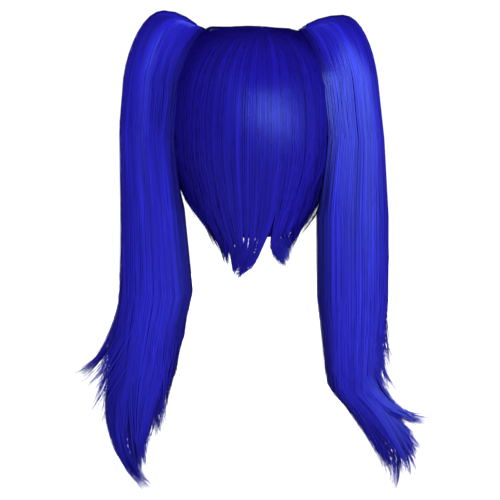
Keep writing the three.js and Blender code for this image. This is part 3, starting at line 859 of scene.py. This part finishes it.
def write_attributes(mesh: bpy.types.Mesh, fibre: Array, tones_and_shade: Array) -> None:
    """Writes the two attributes that the fibre material reads.

    Args:
        mesh: The mesh.
        fibre: Places along and across the fibre and across the bundle, by vertex.
        tones_and_shade: Tones by vertex.
    """
    place = mesh.attributes.new("fibre", "FLOAT_VECTOR", "POINT")
    place.data.foreach_set("vector", fibre.ravel())
    tone = mesh.attributes.new("tone", "FLOAT", "POINT")
    tone.data.foreach_set("value", tones_and_shade)


def plain_attributes(piece: bpy.types.Object, tone: float) -> None:
    """Gives a mass of hair the attributes that its fibre material reads.

    Args:
        piece: The mass, whose fibres run down it.
        tone: Tone of all of it.
    """
    mesh = piece.data
    points = np.zeros(len(mesh.vertices) * 3)
    mesh.vertices.foreach_get("co", points)
    points = points.reshape(-1, 3) / MM
    turn = np.arctan2(points[:, 0], points[:, 1]) * 90.0
    fibre = np.stack([points[:, 2], turn, np.zeros(len(points))], axis=-1)
    write_attributes(mesh, fibre, np.full(len(points), tone))


def dress(
    piece: bpy.types.Object, material: bpy.types.Material, node: Optional[str] = None
) -> None:
    """Gives a piece its material and its body, and hides the CAD node that it stands for.

    Args:
        piece: The piece.
        material: Its material.
        node: The CAD node that it stands for, if any.
    """
    piece.data.materials.clear()
    piece.data.materials.append(material)
    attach(piece, BODY)
    if node:
        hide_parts(node)


@dataclass(frozen=True)
class Neck:
    """Line on which a pigtail leaves the head through its band, in millimetres."""

    lean_degrees: float = 46.0
    out: float = 62.0
    forward: float = 2.0
    height: float = -11.9

    def line(self, side: Side) -> tuple[float, Vector, Vector]:
        """Works out the line on one side.

        Args:
            side: The side.

        Returns:
            The lean in radians, the foot of the line and its direction.
        """
        lean = math.radians(self.lean_degrees) * side.value
        foot = Vector((self.out * side.value, -self.forward, self.height))
        return lean, foot, Vector((math.sin(lean), 0.0, math.cos(lean)))


NECK = Neck()


@dataclass
class Pigtail(Hair):
    """A pigtail: strands that leave their band, arch over and fall in tufts to ragged, flicked locks."""

    side: Side
    sections: Sequence[tuple[float, float, float, float, float]]
    locks: Sequence[tuple[tuple, tuple, tuple, float, float, float]]
    crest: Sequence[tuple[float, float, float]]
    seed: int
    finish: FibreFinish = LIT_TAIL_FIBRE
    slot: str = "pigtail_fibre"
    reach: float = 140.0
    length: float = 521.0
    rise: float = 20.0
    half_depth: float = 30.0
    neck_radius: float = 14.0
    root_radius: float = 18.5
    join_down: float = 0.13
    count: int = 2000
    tufts: int = 60
    arch_stations: int = 13
    fall_stations: int = 4
    lock_stations: int = 5
    strand_width: float = 0.9
    core_inset: float = 6.0
    tone: float = 0.5

    @property
    def node(self) -> str:
        """Name of the CAD node that the pigtail stands for."""
        return f"pigtail_{self.side.name.lower()}"

    def column(self, down: Array, number: int) -> Array:
        """Reads a column of the sections' table at shares of the length below the crest."""
        table = np.array(self.sections)
        return curve_at(down, table[:, 0], table[:, number])

    def fall_point(self, a: Array, b: Array, down: Array) -> Array:
        """Places on the fall, outside the hair on the head.

        Args:
            a: Place across, from -1 on the inside to 1 on the outside.
            b: Place through, from -1 at the front to 1 at the back.
            down: Share of the length below the crest.

        Returns:
            Points in millimetres, on the left side.
        """
        a, b, down = np.broadcast_arrays(a, b, down)
        height = self.rise - down * self.length
        back = (self.column(down, 3) + b * self.column(down, 4)) * self.half_depth
        resting = HEAD_HAIR.side_at(np.maximum(height, -100.0), back) + 1.0
        resting = resting - 26.0 * smooth((-90.0 - height) / 120.0)
        resting = resting - 60.0 * smooth((-190.0 - height) / 80.0)
        inner = np.maximum(self.column(down, 1) * self.reach, resting)
        outer = self.column(down, 2) * self.reach
        inner = np.minimum(inner, outer - 1.0)
        out = (inner + outer) / 2 + a * (outer - inner) / 2
        veil = self.veil_share(a, b, down)
        left = np.clip(1 - (HEAD_HAIR.top - height) / HEAD_HAIR.depth, 0, 1)
        reach = HEAD_HAIR.lift_at(left)
        across = np.clip((a + 1) / 0.9, 0, 1)
        inward = 0.95 - 0.1 * (0.5 + 0.5 * np.sin(900.0 * b))
        on_head = (inward * HEAD_HAIR.side * reach, np.sqrt(1 - inward**2) * HEAD_HAIR.back * reach - 0.5)
        on_tail = (
            (inner + outer) / 2 - 0.1 * (outer - inner) / 2,
            (self.column(down, 3) + 0.95 * self.column(down, 4)) * self.half_depth,
        )
        laid_out = on_head[0] * (1 - across) + on_tail[0] * across
        laid_back = on_head[1] * (1 - across) + on_tail[1] * across
        out = out * (1 - veil) + laid_out * veil
        back = back * (1 - veil) + laid_back * veil
        return np.stack([out, back, height], axis=-1)

    def veil_share(self, a: Array, b: Array, down: Array) -> Array:
        """How far a strand lies in the veil that covers the crease between the head and the pigtail.

        Args:
            a: Places across.
            b: Places through.
            down: Shares of the length below the crest.

        Returns:
            Shares from 0 to 1.
        """
        corner = smooth((b - 0.2) / 0.3) * smooth((0.1 - a) / 0.2)
        return corner * smooth((down - 0.03) / 0.06) * (1 - smooth((down - 0.2) / 0.22))

    def neck_point(self, a: Array, b: Array, along: Array, radius: Array) -> Array:
        """Places in the neck, where the hair leaves its band.

        Args:
            a: Place up and inwards, from -1 to 1.
            b: Place to the back, from -1 to 1.
            along: Distance along the neck in millimetres.
            radius: Radius of the neck for each strand.

        Returns:
            Points in millimetres, on the left side.
        """
        lean = math.radians(NECK.lean_degrees)
        direction = np.array([math.sin(lean), 0.0, math.cos(lean)])
        upward = np.array([-math.cos(lean), 0.0, math.sin(lean)])
        foot = np.array([NECK.out, -NECK.forward, NECK.height])
        along, a, b, radius = np.broadcast_arrays(along, a, b, radius)
        return (
            foot
            + direction * along[..., None]
            + upward * (a * radius)[..., None]
            + np.array([0.0, 1.0, 0.0]) * (b * radius)[..., None]
        )

    def lock_points(self, number: Array, share: Array) -> tuple[Array, Array]:
        """Places on the middle lines of the tip locks.

        Args:
            number: Lock of each strand.
            share: Shares along the lock, by strand and station.

        Returns:
            Points in millimetres, on the left side, and the starts of the locks.
        """

        def place(corner: Sequence[float], back: float) -> list[float]:
            """Point in millimetres from a lock's table values."""
            return [corner[0] * self.reach, back * self.half_depth, self.rise - corner[1] * self.length]

        starts = np.array([place(row[0], row[3]) for row in self.locks])
        middles = np.array([place(row[1], (row[3] + row[4]) / 2) for row in self.locks])
        tips = np.array([place(row[2], row[4]) for row in self.locks])
        t = share[..., None]
        first, second, third = (points[number][:, None] for points in (starts, middles, tips))
        return first * (1 - t) ** 2 + second * 2 * t * (1 - t) + third * t**2, starts[number]

    def strands(self) -> Strands:
        """Lays the strands from the band over the arch and down to the locks.

        Returns:
            The strands.
        """
        rng = np.random.default_rng(self.seed)
        count = self.count
        tuft = rng.integers(0, self.tufts, count)
        tuft_angle = (np.arange(self.tufts) + rng.uniform(0, 1, self.tufts)) / self.tufts
        angle = 2 * math.pi * (tuft_angle[tuft] + rng.normal(0, 1.2, count) / self.tufts)
        ring = 1 - np.minimum(np.abs(rng.normal(0, 0.045, count)), 0.8)
        a = np.sign(np.cos(angle)) * np.abs(np.cos(angle)) ** 0.8 * ring * 1.02
        b = np.sign(np.sin(angle)) * np.abs(np.sin(angle)) ** 0.8 * ring
        number = self.choose_locks(rng, a, b)
        starts_down = np.array([row[0][1] for row in self.locks])[number]
        arch = self.arch(rng, a, b)
        share = np.linspace(0, 1, self.fall_stations + 1)[None, 1:]
        down = self.join_down + (starts_down - self.join_down)[:, None] * share**1.2
        gathered = 1 - 0.025 * smooth(share) * np.abs(rng.normal(0, 1, (count, 1)))
        fall = self.fall_point(a[:, None] * gathered, b[:, None] * gathered, down)
        end = 1 - np.minimum(rng.exponential(0.065, count), 0.55)
        lock_share = np.linspace(0, 1, self.lock_stations + 1)[None, 1:] * end[:, None]
        middle, starts = self.lock_points(number, lock_share)
        offset = (fall[:, -1] - starts)[:, None]
        squeezed = (1 - lock_share) ** (0.9 + 0.6 * rng.random((count, 1)))
        tips = middle + offset * squeezed[..., None]
        splay = rng.normal(0, 1, (self.tufts, 3))[tuft] * np.array([5.0, 4.0, 5.0])
        tips = tips + splay[:, None] * lock_share[..., None] ** 2
        paths = np.concatenate([arch, fall, tips], axis=1)
        stations = np.linspace(0, 1, paths.shape[1])[None]
        wave = np.sin(stations * rng.uniform(4, 11, (count, 1)) + rng.random((count, 1)) * 6.28)
        paths[..., 0] += wave * 0.8 * smooth((stations - 0.3) / 0.3)
        outward = self.outward(a, b, arch, paths.shape[1])
        taper = 1 - 0.9 * smooth((stations - 0.8) / 0.2)
        widths = self.strand_width * rng.uniform(0.7, 1.3, (count, 1)) * taper
        widths = widths * (0.5 + 0.5 * smooth(stations / 0.3))
        tuft_tone = rng.normal(0, 0.03, self.tufts)[tuft]
        # Strands lying deeper inside the pigtail are painted up to 0.3 darker: painted shade; the rest of the
        # tone differs at random by tuft and strand.
        tones_and_shade = self.tone + tuft_tone + rng.normal(0, 0.05, count) - 0.3 * (1 - ring)
        # Strands on the pigtail's inner side, towards the head, are painted 0.3 darker: painted shade in the
        # crease.
        tones_and_shade = tones_and_shade - 0.3 * smooth((-a - 0.6) / 0.25)
        paths[..., 0] *= self.side.value
        outward[..., 0] *= self.side.value
        return Strands(paths, outward, widths, tones_and_shade, angle * self.half_depth, self.seed)

    def choose_locks(self, rng: np.random.Generator, a: Array, b: Array) -> Array:
        """Chooses the tip lock that each strand ends in, by nearness and by the lock's size.

        Args:
            rng: Seeded source of numbers.
            a: Places across.
            b: Places through.

        Returns:
            Number of the lock of each strand.
        """
        scores = []
        for start, _, _, back, _, width in self.locks:
            here = self.fall_point(a, b, np.full(len(a), start[1]))
            out = (here[:, 0] - start[0] * self.reach) / 20.0
            through = (here[:, 1] - back * self.half_depth) / 26.0
            scores.append(out**2 + through**2 - 1.1 * math.log(width))
        noise = rng.gumbel(0, 0.35, (len(a), len(self.locks)))
        return np.argmin(np.stack(scores, axis=1) - noise, axis=1)

    def arch(self, rng: np.random.Generator, a: Array, b: Array) -> Array:
        """Leads the strands from under their band over the arch to where they fall straight.

        Args:
            rng: Seeded source of numbers.
            a: Places across.
            b: Places through.

        Returns:
            Points in millimetres, by strand and station, on the left side.
        """
        count = len(a)
        spread = b * math.radians(78.0)
        under = self.neck_point(
            np.cos(spread), np.sin(spread), np.full(count, -9.0), np.full(count, self.neck_radius)
        )
        start = self.neck_point(
            np.cos(spread), np.sin(spread), np.full(count, -2.0), np.full(count, self.root_radius)
        )
        table = np.array(self.crest)
        low = (1 - np.hypot(a, b)).clip(0, 1) * 14.0 + rng.uniform(0, 1.2, count)
        reach = 0.5 + 0.5 * np.clip(a, -1, 1)
        top = np.stack(
            [
                curve_at(a, table[:, 0], table[:, 1]) + 3.0 * np.abs(b) * reach, 8.0 + 17.0 * b,
                curve_at(a, table[:, 0], table[:, 2]) - 9.0 * b**2 * reach - low,
            ],
            axis=-1,
        )
        joins = np.full(count, self.join_down)
        stop = self.fall_point(a, b, joins)
        falling = unit(self.fall_point(a, b, joins + 0.02) - stop)
        across = stop - top
        level = unit(across * np.array([1.0, 1.0, 0.0]))
        straight = np.clip(-a * 0.6 + 0.1, 0, 1)[:, None]
        over = unit(level * (1 - straight) + unit(across) * straight)
        gap = np.linalg.norm(top - start, axis=1, keepdims=True)
        lift = np.stack([0.4 + 0.2 * reach, 0.35 * b, 0.25 + 0.3 * reach], axis=-1)
        steps = np.linspace(0, 1, 5)[None, 1:, None]
        climb = bezier(start, start + unit(lift) * gap * 0.36, top - over * gap * 0.33, top, steps)
        reached = np.linalg.norm(across, axis=1, keepdims=True)
        steps = np.linspace(0, 1, self.arch_stations - 4)[None, 1:, None]
        bend = bezier(top, top + over * reached * 0.25, stop - falling * reached * 0.44, stop, steps)
        return np.concatenate([under[:, None], climb, bend], axis=1)

    def outward(self, a: Array, b: Array, arch: Array, stations: int) -> Array:
        """Sides of the strands that face out of the pigtail.

        Args:
            a: Places across.
            b: Places through.
            arch: The arch's points by strand and station.
            stations: Number of stations of a whole strand.

        Returns:
            Unit vectors by strand and station.
        """
        flat = unit(np.stack([a * 0.8, b, np.zeros_like(a)], axis=-1))
        middle = arch.mean(axis=0, keepdims=True) - np.array([0.0, 0.0, 6.0])
        bulging = unit(arch - middle)
        held = np.repeat(flat[:, None], stations - arch.shape[1], axis=1)
        easing = smooth((np.arange(arch.shape[1]) - 4) / (arch.shape[1] - 4))[None, :, None]
        bulging = unit(bulging * (1 - easing) + flat[:, None] * easing)
        facing = np.concatenate([bulging, held], axis=1)
        veil = self.veil_share(a, b, np.full(len(a), self.join_down))[:, None, None]
        fading = 1 - smooth((np.arange(stations) - arch.shape[1]) / 3)[None, :, None]
        return unit(facing * (1 - veil * fading) + np.array([0.35, 0.9, 0.1]) * veil * fading)

    def core(self) -> bpy.types.Object:
        """Lofts the dense mass inside the strands from level oval rings.

        Returns:
            The mass as one object.
        """
        rings = []
        for down in np.linspace(0.13, 0.8, 16):
            ends = self.fall_point(np.array([-1.0, 1.0]), np.zeros(2), np.full(2, down))
            half_width = (ends[1][0] - ends[0][0]) / 2 - self.core_inset
            half_depth = float(self.column(np.array(down), 4)) * self.half_depth - self.core_inset
            if half_width < 2.0 or half_depth < 2.0:
                continue
            centre = ((ends[0][0] + ends[1][0]) / 2 * self.side.value, ends[0][1], ends[0][2])
            rings.append((centre, (half_width, half_depth)))
        mass = loft_rings(f"{self.node}_mass", rings, 40, closed=True)
        deselect_all()
        bpy.ops.mesh.primitive_uv_sphere_add(
            segments=40, ring_count=20, radius=MM,
            location=(86.0 * self.side.value * MM, 8.0 * MM, -24.0 * MM), scale=(28.0, 16.0, 29.0),
        )
        bpy.ops.object.shade_smooth()
        arch = bpy.context.active_object
        lean, foot, direction = NECK.line(self.side)
        middle = foot + direction * 6.0
        bpy.ops.mesh.primitive_uv_sphere_add(
            segments=32, ring_count=16, radius=MM, location=middle * MM, rotation=(0.0, lean, 0.0),
            scale=(self.neck_radius, self.neck_radius, 19.0),
        )
        bpy.ops.object.shade_smooth()
        for part in (arch, mass):
            part.select_set(True)
        bpy.context.view_layer.objects.active = mass
        bpy.ops.object.join()
        deselect_all()
        return mass


@dataclass
class Tie:
    """A covered elastic band round a pigtail's neck."""

    side: Side
    radius: float = 16.4
    wall: float = 2.2
    width: float = 9.0
    lift: float = 5.5
    finish: ElasticFinish = ElasticFinish()

    def build(self) -> list[bpy.types.Object]:
        """Builds the band from a torus drawn out to its width, and dresses it.

        Returns:
            The band.
        """
        lean, foot, direction = NECK.line(self.side)
        deselect_all()
        bpy.ops.mesh.primitive_torus_add(
            major_segments=96, minor_segments=16, major_radius=self.radius * MM,
            minor_radius=self.wall / 2 * MM, location=(foot + direction * self.lift) * MM,
            rotation=(0.0, lean, 0.0),
        )
        band = bpy.context.active_object
        band.name = f"tie_{self.side.name.lower()}_band"
        band.scale = (1.0, 1.0, self.width / self.wall)
        bpy.ops.object.transform_apply(location=True, rotation=True, scale=True)
        bpy.ops.object.shade_smooth()
        dress(band, self.finish.material(), f"tie_{self.side.name.lower()}")
        return [band]


@dataclass
class Cap:
    """The stretch cap and the patch of false skin at the whorl, which keep their CAD nodes."""

    net: NetFinish = NetFinish()
    skin: SkinFinish = SkinFinish()

    def build(self) -> list[bpy.types.Object]:
        """Dresses the cap and the patch.

        Returns:
            The two CAD nodes.
        """
        dressed = []
        for node, finish in (("cap", self.net), ("crown_patch", self.skin)):
            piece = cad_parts[node]
            material = finish.material()
            for place in piece.material_slots:
                place.material = material
            dressed.append(piece)
        return dressed


@dataclass
class Studio:
    """White paper floor, soft lights and the camera of the photograph's view."""

    floor_height: float = -0.56
    camera_place: tuple[float, float, float] = (0.001, 1.700, 0.041)
    camera_aim: tuple[float, float, float] = (0.001, 0.0, -0.234)
    lens: float = 114.58
    world_strength: float = 1.06

    def build(self) -> None:
        """Builds the floor, the world, the lights and the camera."""
        self.add_sweep()
        self.add_world()
        self.add_light("key", (-0.75, 1.75, 0.3), 1.0, 62.0)
        self.add_light("fill", (0.95, 1.0, 1.05), 1.0, 29.5, glossy=False)
        self.add_light("side", (-1.3, 1.35, -0.15), 0.8, 31.0)
        self.add_light("face", (0.5, -1.6, -0.4), 1.2, 18.0)
        self.add_camera()

    def add_sweep(self) -> None:
        """Adds the floor as one flat sheet."""
        deselect_all()
        bpy.ops.mesh.primitive_plane_add(size=8.0, location=(0.0, 0.0, self.floor_height))
        floor = bpy.context.active_object
        floor.name = "paper_floor"
        bpy.ops.object.transform_apply(location=True, rotation=True, scale=True)
        floor.data.materials.append(PaperFinish().material())
        floor.visible_glossy = False

    def add_world(self) -> None:
        """Lights the room evenly in white."""
        world = bpy.data.worlds.new("white_room")
        bpy.context.scene.world = world
        world.use_nodes = True
        world.node_tree.nodes.clear()
        sky = add_node(
            world.node_tree, "ShaderNodeBackground",
            values={"Color": (1.0, 1.0, 1.0, 1.0), "Strength": self.world_strength},
        )
        add_node(world.node_tree, "ShaderNodeOutputWorld", links={"Surface": sky.outputs[0]})
        world.cycles_visibility.glossy = False

    def add_light(
        self, name: str, place: tuple[float, float, float], size: float, watts: float, glossy: bool = True
    ) -> None:
        """Adds a soft square light aimed at the wig.

        Args:
            name: Name of the light.
            place: Where it stands, in metres.
            size: Length of its side in metres.
            watts: Its power.
            glossy: Whether it shows in the gloss of the fibre.
        """
        light = bpy.data.lights.new(name, "AREA")
        light.shape = "SQUARE"
        light.size = size
        light.energy = watts
        lamp = bpy.data.objects.new(name, light)
        lamp.location = place
        lamp.visible_glossy = glossy
        aim = Vector((0.0, 0.0, -0.22)) - Vector(place)
        lamp.rotation_euler = aim.to_track_quat("-Z", "Y").to_euler()
        bpy.context.scene.collection.objects.link(lamp)

    def add_camera(self) -> None:
        """Adds the camera at the photograph's angle, with its depth of field off."""
        data = bpy.data.cameras.new("camera")
        data.lens = self.lens
        data.sensor_width = 36.0
        camera = bpy.data.objects.new("camera", data)
        camera.location = self.camera_place
        aim = Vector(self.camera_aim) - Vector(self.camera_place)
        camera.rotation_euler = aim.to_track_quat("-Z", "Y").to_euler()
        bpy.context.scene.collection.objects.link(camera)
        bpy.context.scene.camera = camera
        bpy.context.scene.view_settings.view_transform = "Standard"


# Forms of the layers below the widest level: share of the fall, and shares of the width and depth left.
BACK_FORM = (
    (0.0, 1.0, 1.0), (0.16, 0.99, 0.965), (0.28, 0.95, 0.92), (0.42, 0.845, 0.86), (0.52, 0.815, 0.81),
    (0.63, 0.7, 0.75), (0.72, 0.585, 0.7), (0.8, 0.49, 0.66), (0.9, 0.4, 0.615), (1.05, 0.31, 0.57),
)
LEFT_FORM = (
    (0.0, 1.0, 1.0), (0.3, 0.985, 0.93), (0.65, 0.865, 0.83), (0.9, 0.735, 0.74), (1.4, 0.46, 0.57)
)
RIGHT_FORM = (
    (0.0, 1.0, 1.0), (0.3, 0.985, 0.93), (0.6, 0.95, 0.85), (0.9, 0.83, 0.74), (1.15, 0.675, 0.65),
    (1.45, 0.43, 0.57),
)
FRINGE_FORM = ((0.0, 1.0, 1.0), (1.0, 0.9, 0.96))

# Locks of the layers in order of their turn: share of the fall at the tip, and sway of the tip to +X.
BACK_LOCKS = (
    (0.82, -0.05), (0.9, -0.28), (0.96, -0.5), (1.0, -0.75), (1.06, 0.78), (1.02, 0.5), (1.04, 0.35),
    (1.02, 0.2), (0.98, 0.1), (0.9, 0.05), (0.84, 0.0),
)
LEFT_LOCKS = ((1.35, 0.0), (1.2, 0.0), (0.98, 0.0), (0.85, -0.05), (0.74, -0.1))
RIGHT_LOCKS = ((1.4, 0.0), (1.3, 0.0), (1.05, 0.0), (0.85, 0.05), (0.74, 0.1))
FRINGE_LOCKS = (
    (0.3, 0.1), (0.12, 0.1), (0.01, 0.1), (0.04, 0.12), (0.0, -0.1), (0.03, -0.12), (0.1, -0.1), (0.3, -0.1)
)

# Highest places of the pigtails' strands, by place across: distance from the middle and height.
LEFT_CREST = ((-1.0, 47.5, 1.5), (-0.5, 59.0, 9.6), (0.0, 72.0, 17.5), (0.5, 83.0, 21.8), (1.0, 91.5, 22.8))
RIGHT_CREST = (
    (-1.0, 52.0, 1.5), (-0.5, 62.0, 8.0), (0.0, 75.0, 14.0), (0.5, 87.0, 17.2), (1.0, 97.0, 18.0)
)

# Level sections of the pigtails: share of the length below the crest, inner and outer reach as shares of
# the full reach, and middle and half depth as shares of the full half depth.
LEFT_SECTIONS = (
    (0.0005, 0.6, 0.67, 0.27, 0.16),
    (0.0065, 0.53, 0.74, 0.28, 0.38),
    (0.0146, 0.43, 0.8, 0.3, 0.54),
    (0.0345, 0.29, 0.855, 0.34, 0.7),
    (0.0557, 0.27, 0.886, 0.36, 0.76),
    (0.096, 0.39, 0.93, 0.34, 0.84),
    (0.155, 0.53, 0.971, 0.3, 0.9),
    (0.217, 0.59, 0.99, 0.26, 0.95),
    (0.326, 0.54, 0.993, 0.2, 1.0),
    (0.384, 0.52, 0.993, 0.18, 1.0),
    (0.488, 0.493, 0.997, 0.15, 1.02),
    (0.593, 0.45, 1.02, 0.13, 1.02),
    (0.656, 0.464, 1.055, 0.13, 0.98),
    (0.7255, 0.548, 1.095, 0.13, 0.9),
    (0.787, 0.67, 1.1, 0.15, 0.76),
    (0.837, 0.745, 1.08, 0.18, 0.56),
    (0.88, 0.86, 1.04, 0.2, 0.3),
    (0.9, 0.93, 1.01, 0.2, 0.1),
)
RIGHT_SECTIONS = (
    (0.0075, 0.6, 0.72, 0.4, 0.16),
    (0.0115, 0.52, 0.78, 0.42, 0.38),
    (0.019, 0.42, 0.82, 0.44, 0.56),
    (0.038, 0.34, 0.86, 0.48, 0.74),
    (0.0557, 0.31, 0.89, 0.5, 0.8),
    (0.096, 0.39, 0.925, 0.48, 0.86),
    (0.155, 0.53, 0.96, 0.42, 0.92),
    (0.217, 0.59, 0.99, 0.36, 0.96),
    (0.326, 0.54, 1.027, 0.26, 1.0),
    (0.384, 0.514, 1.042, 0.22, 1.0),
    (0.488, 0.506, 1.057, 0.18, 1.02),
    (0.593, 0.518, 1.055, 0.15, 1.02),
    (0.656, 0.53, 1.04, 0.14, 0.98),
    (0.7255, 0.555, 1.0, 0.13, 0.9),
    (0.787, 0.635, 1.0, 0.14, 0.78),
    (0.83, 0.77, 1.07, 0.16, 0.6),
    (0.87, 0.905, 1.14, 0.18, 0.36),
    (0.9, 1.04, 1.14, 0.18, 0.1),
)

# Locks at the pigtails' ends: start, middle and tip as shares out and down, then how far back the start
# and the tip lie and how wide the lock is, as shares of the half depth.
LEFT_TIP_LOCKS = (
    ((0.9, 0.59), (1.11, 0.738), (1.41, 0.768), 0.0, -0.2, 1.5),
    ((0.92, 0.62), (1.12, 0.765), (1.33, 0.78), 0.3, 0.5, 1.1),
    ((0.94, 0.65), (1.14, 0.765), (1.22, 0.818), -0.3, -0.5, 0.9),
    ((0.96, 0.68), (1.17, 0.795), (1.26, 0.85), 0.4, 0.7, 0.9),
    ((0.96, 0.71), (1.17, 0.83), (1.17, 0.885), -0.35, -0.6, 0.8),
    ((0.96, 0.74), (1.21, 0.905), (0.76, 1.01), 0.15, 0.2, 2.4),
    ((0.84, 0.75), (1.1, 0.88), (0.86, 0.975), -0.1, 0.1, 1.3),
    ((0.78, 0.7), (0.77, 0.8), (0.69, 0.87), 0.3, 0.55, 0.6),
    ((0.82, 0.74), (0.8, 0.84), (0.73, 0.9), -0.4, -0.75, 0.9),
    ((0.86, 0.76), (0.92, 0.88), (0.87, 0.945), 0.45, 0.8, 0.8),
    ((0.98, 0.74), (1.1, 0.84), (1.03, 0.93), -0.3, -0.9, 0.5),
)
RIGHT_TIP_LOCKS = (
    ((0.93, 0.59), (1.02, 0.69), (1.12, 0.74), 0.0, 0.1, 1.0),
    ((0.93, 0.65), (0.98, 0.74), (1.11, 0.785), 0.3, 0.5, 0.8),
    ((0.88, 0.74), (1.05, 0.835), (1.41, 0.843), 0.3, 0.6, 0.7),
    ((0.9, 0.75), (1.1, 0.845), (1.4, 0.86), -0.2, -0.5, 0.8),
    ((0.92, 0.76), (1.17, 0.87), (1.32, 0.888), -0.4, -0.9, 0.7),
    ((0.92, 0.77), (1.24, 0.88), (1.32, 0.915), 0.2, 0.4, 0.8),
    ((0.92, 0.78), (1.24, 0.89), (1.31, 0.935), -0.2, -0.35, 0.8),
    ((0.94, 0.78), (1.25, 0.9), (1.26, 0.965), 0.3, 0.5, 0.8),
    ((0.95, 0.79), (1.26, 0.92), (1.13, 1.005), 0.1, 0.1, 0.8),
    ((0.88, 0.77), (1.08, 0.89), (1.1, 0.96), 0.15, 0.1, 0.6),
)


def main() -> None:
    """Builds the studio and the wig's sub-assemblies in order, and reports each piece."""
    logging.basicConfig(level=logging.INFO, format="%(name)s: %(message)s")
    Studio().build()
    layers = [
        HeadLayer(
            "back_hair", "fibre", BACK_FIBRE, -80, 80, 150, 0.04, BACK_FORM, BACK_LOCKS,
            count=3400, seed=11, core_bottom=-210,
        ),
        HeadLayer(
            "side_hair_left", "under_fibre", SHADED_SIDE_FIBRE, 80, 128, 100, 0.13, LEFT_FORM, LEFT_LOCKS,
            count=750, seed=12, core_bottom=-150, overlap_degrees=24,
        ),
        HeadLayer(
            "side_hair_right", "under_fibre", SHADED_SIDE_FIBRE, -80, -128, 100, 0.13, RIGHT_FORM,
            RIGHT_LOCKS, count=750, seed=13, core_bottom=-150, overlap_degrees=24, strand_width=1.35,
        ),
        HeadLayer(
            "fringe", "fibre", BACK_FIBRE, 128, 232, 102, 0.14, FRINGE_FORM, FRINGE_LOCKS,
            count=1200, seed=14, core_bottom=-92,
        ),
    ]
    parts = [Cap(), *layers]
    parts += [
        Pigtail(Side.LEFT, LEFT_SECTIONS, LEFT_TIP_LOCKS, LEFT_CREST, seed=21),
        Pigtail(Side.RIGHT, RIGHT_SECTIONS, RIGHT_TIP_LOCKS, RIGHT_CREST, seed=22), Tie(Side.LEFT),
        Tie(Side.RIGHT),
    ]
    for part in parts:
        for piece in part.build():
            faces = sum(len(face.vertices) - 2 for face in piece.data.polygons)
            LOG.info("%s: %d triangles", piece.name, faces)


if __name__ == "__main__":
    main()
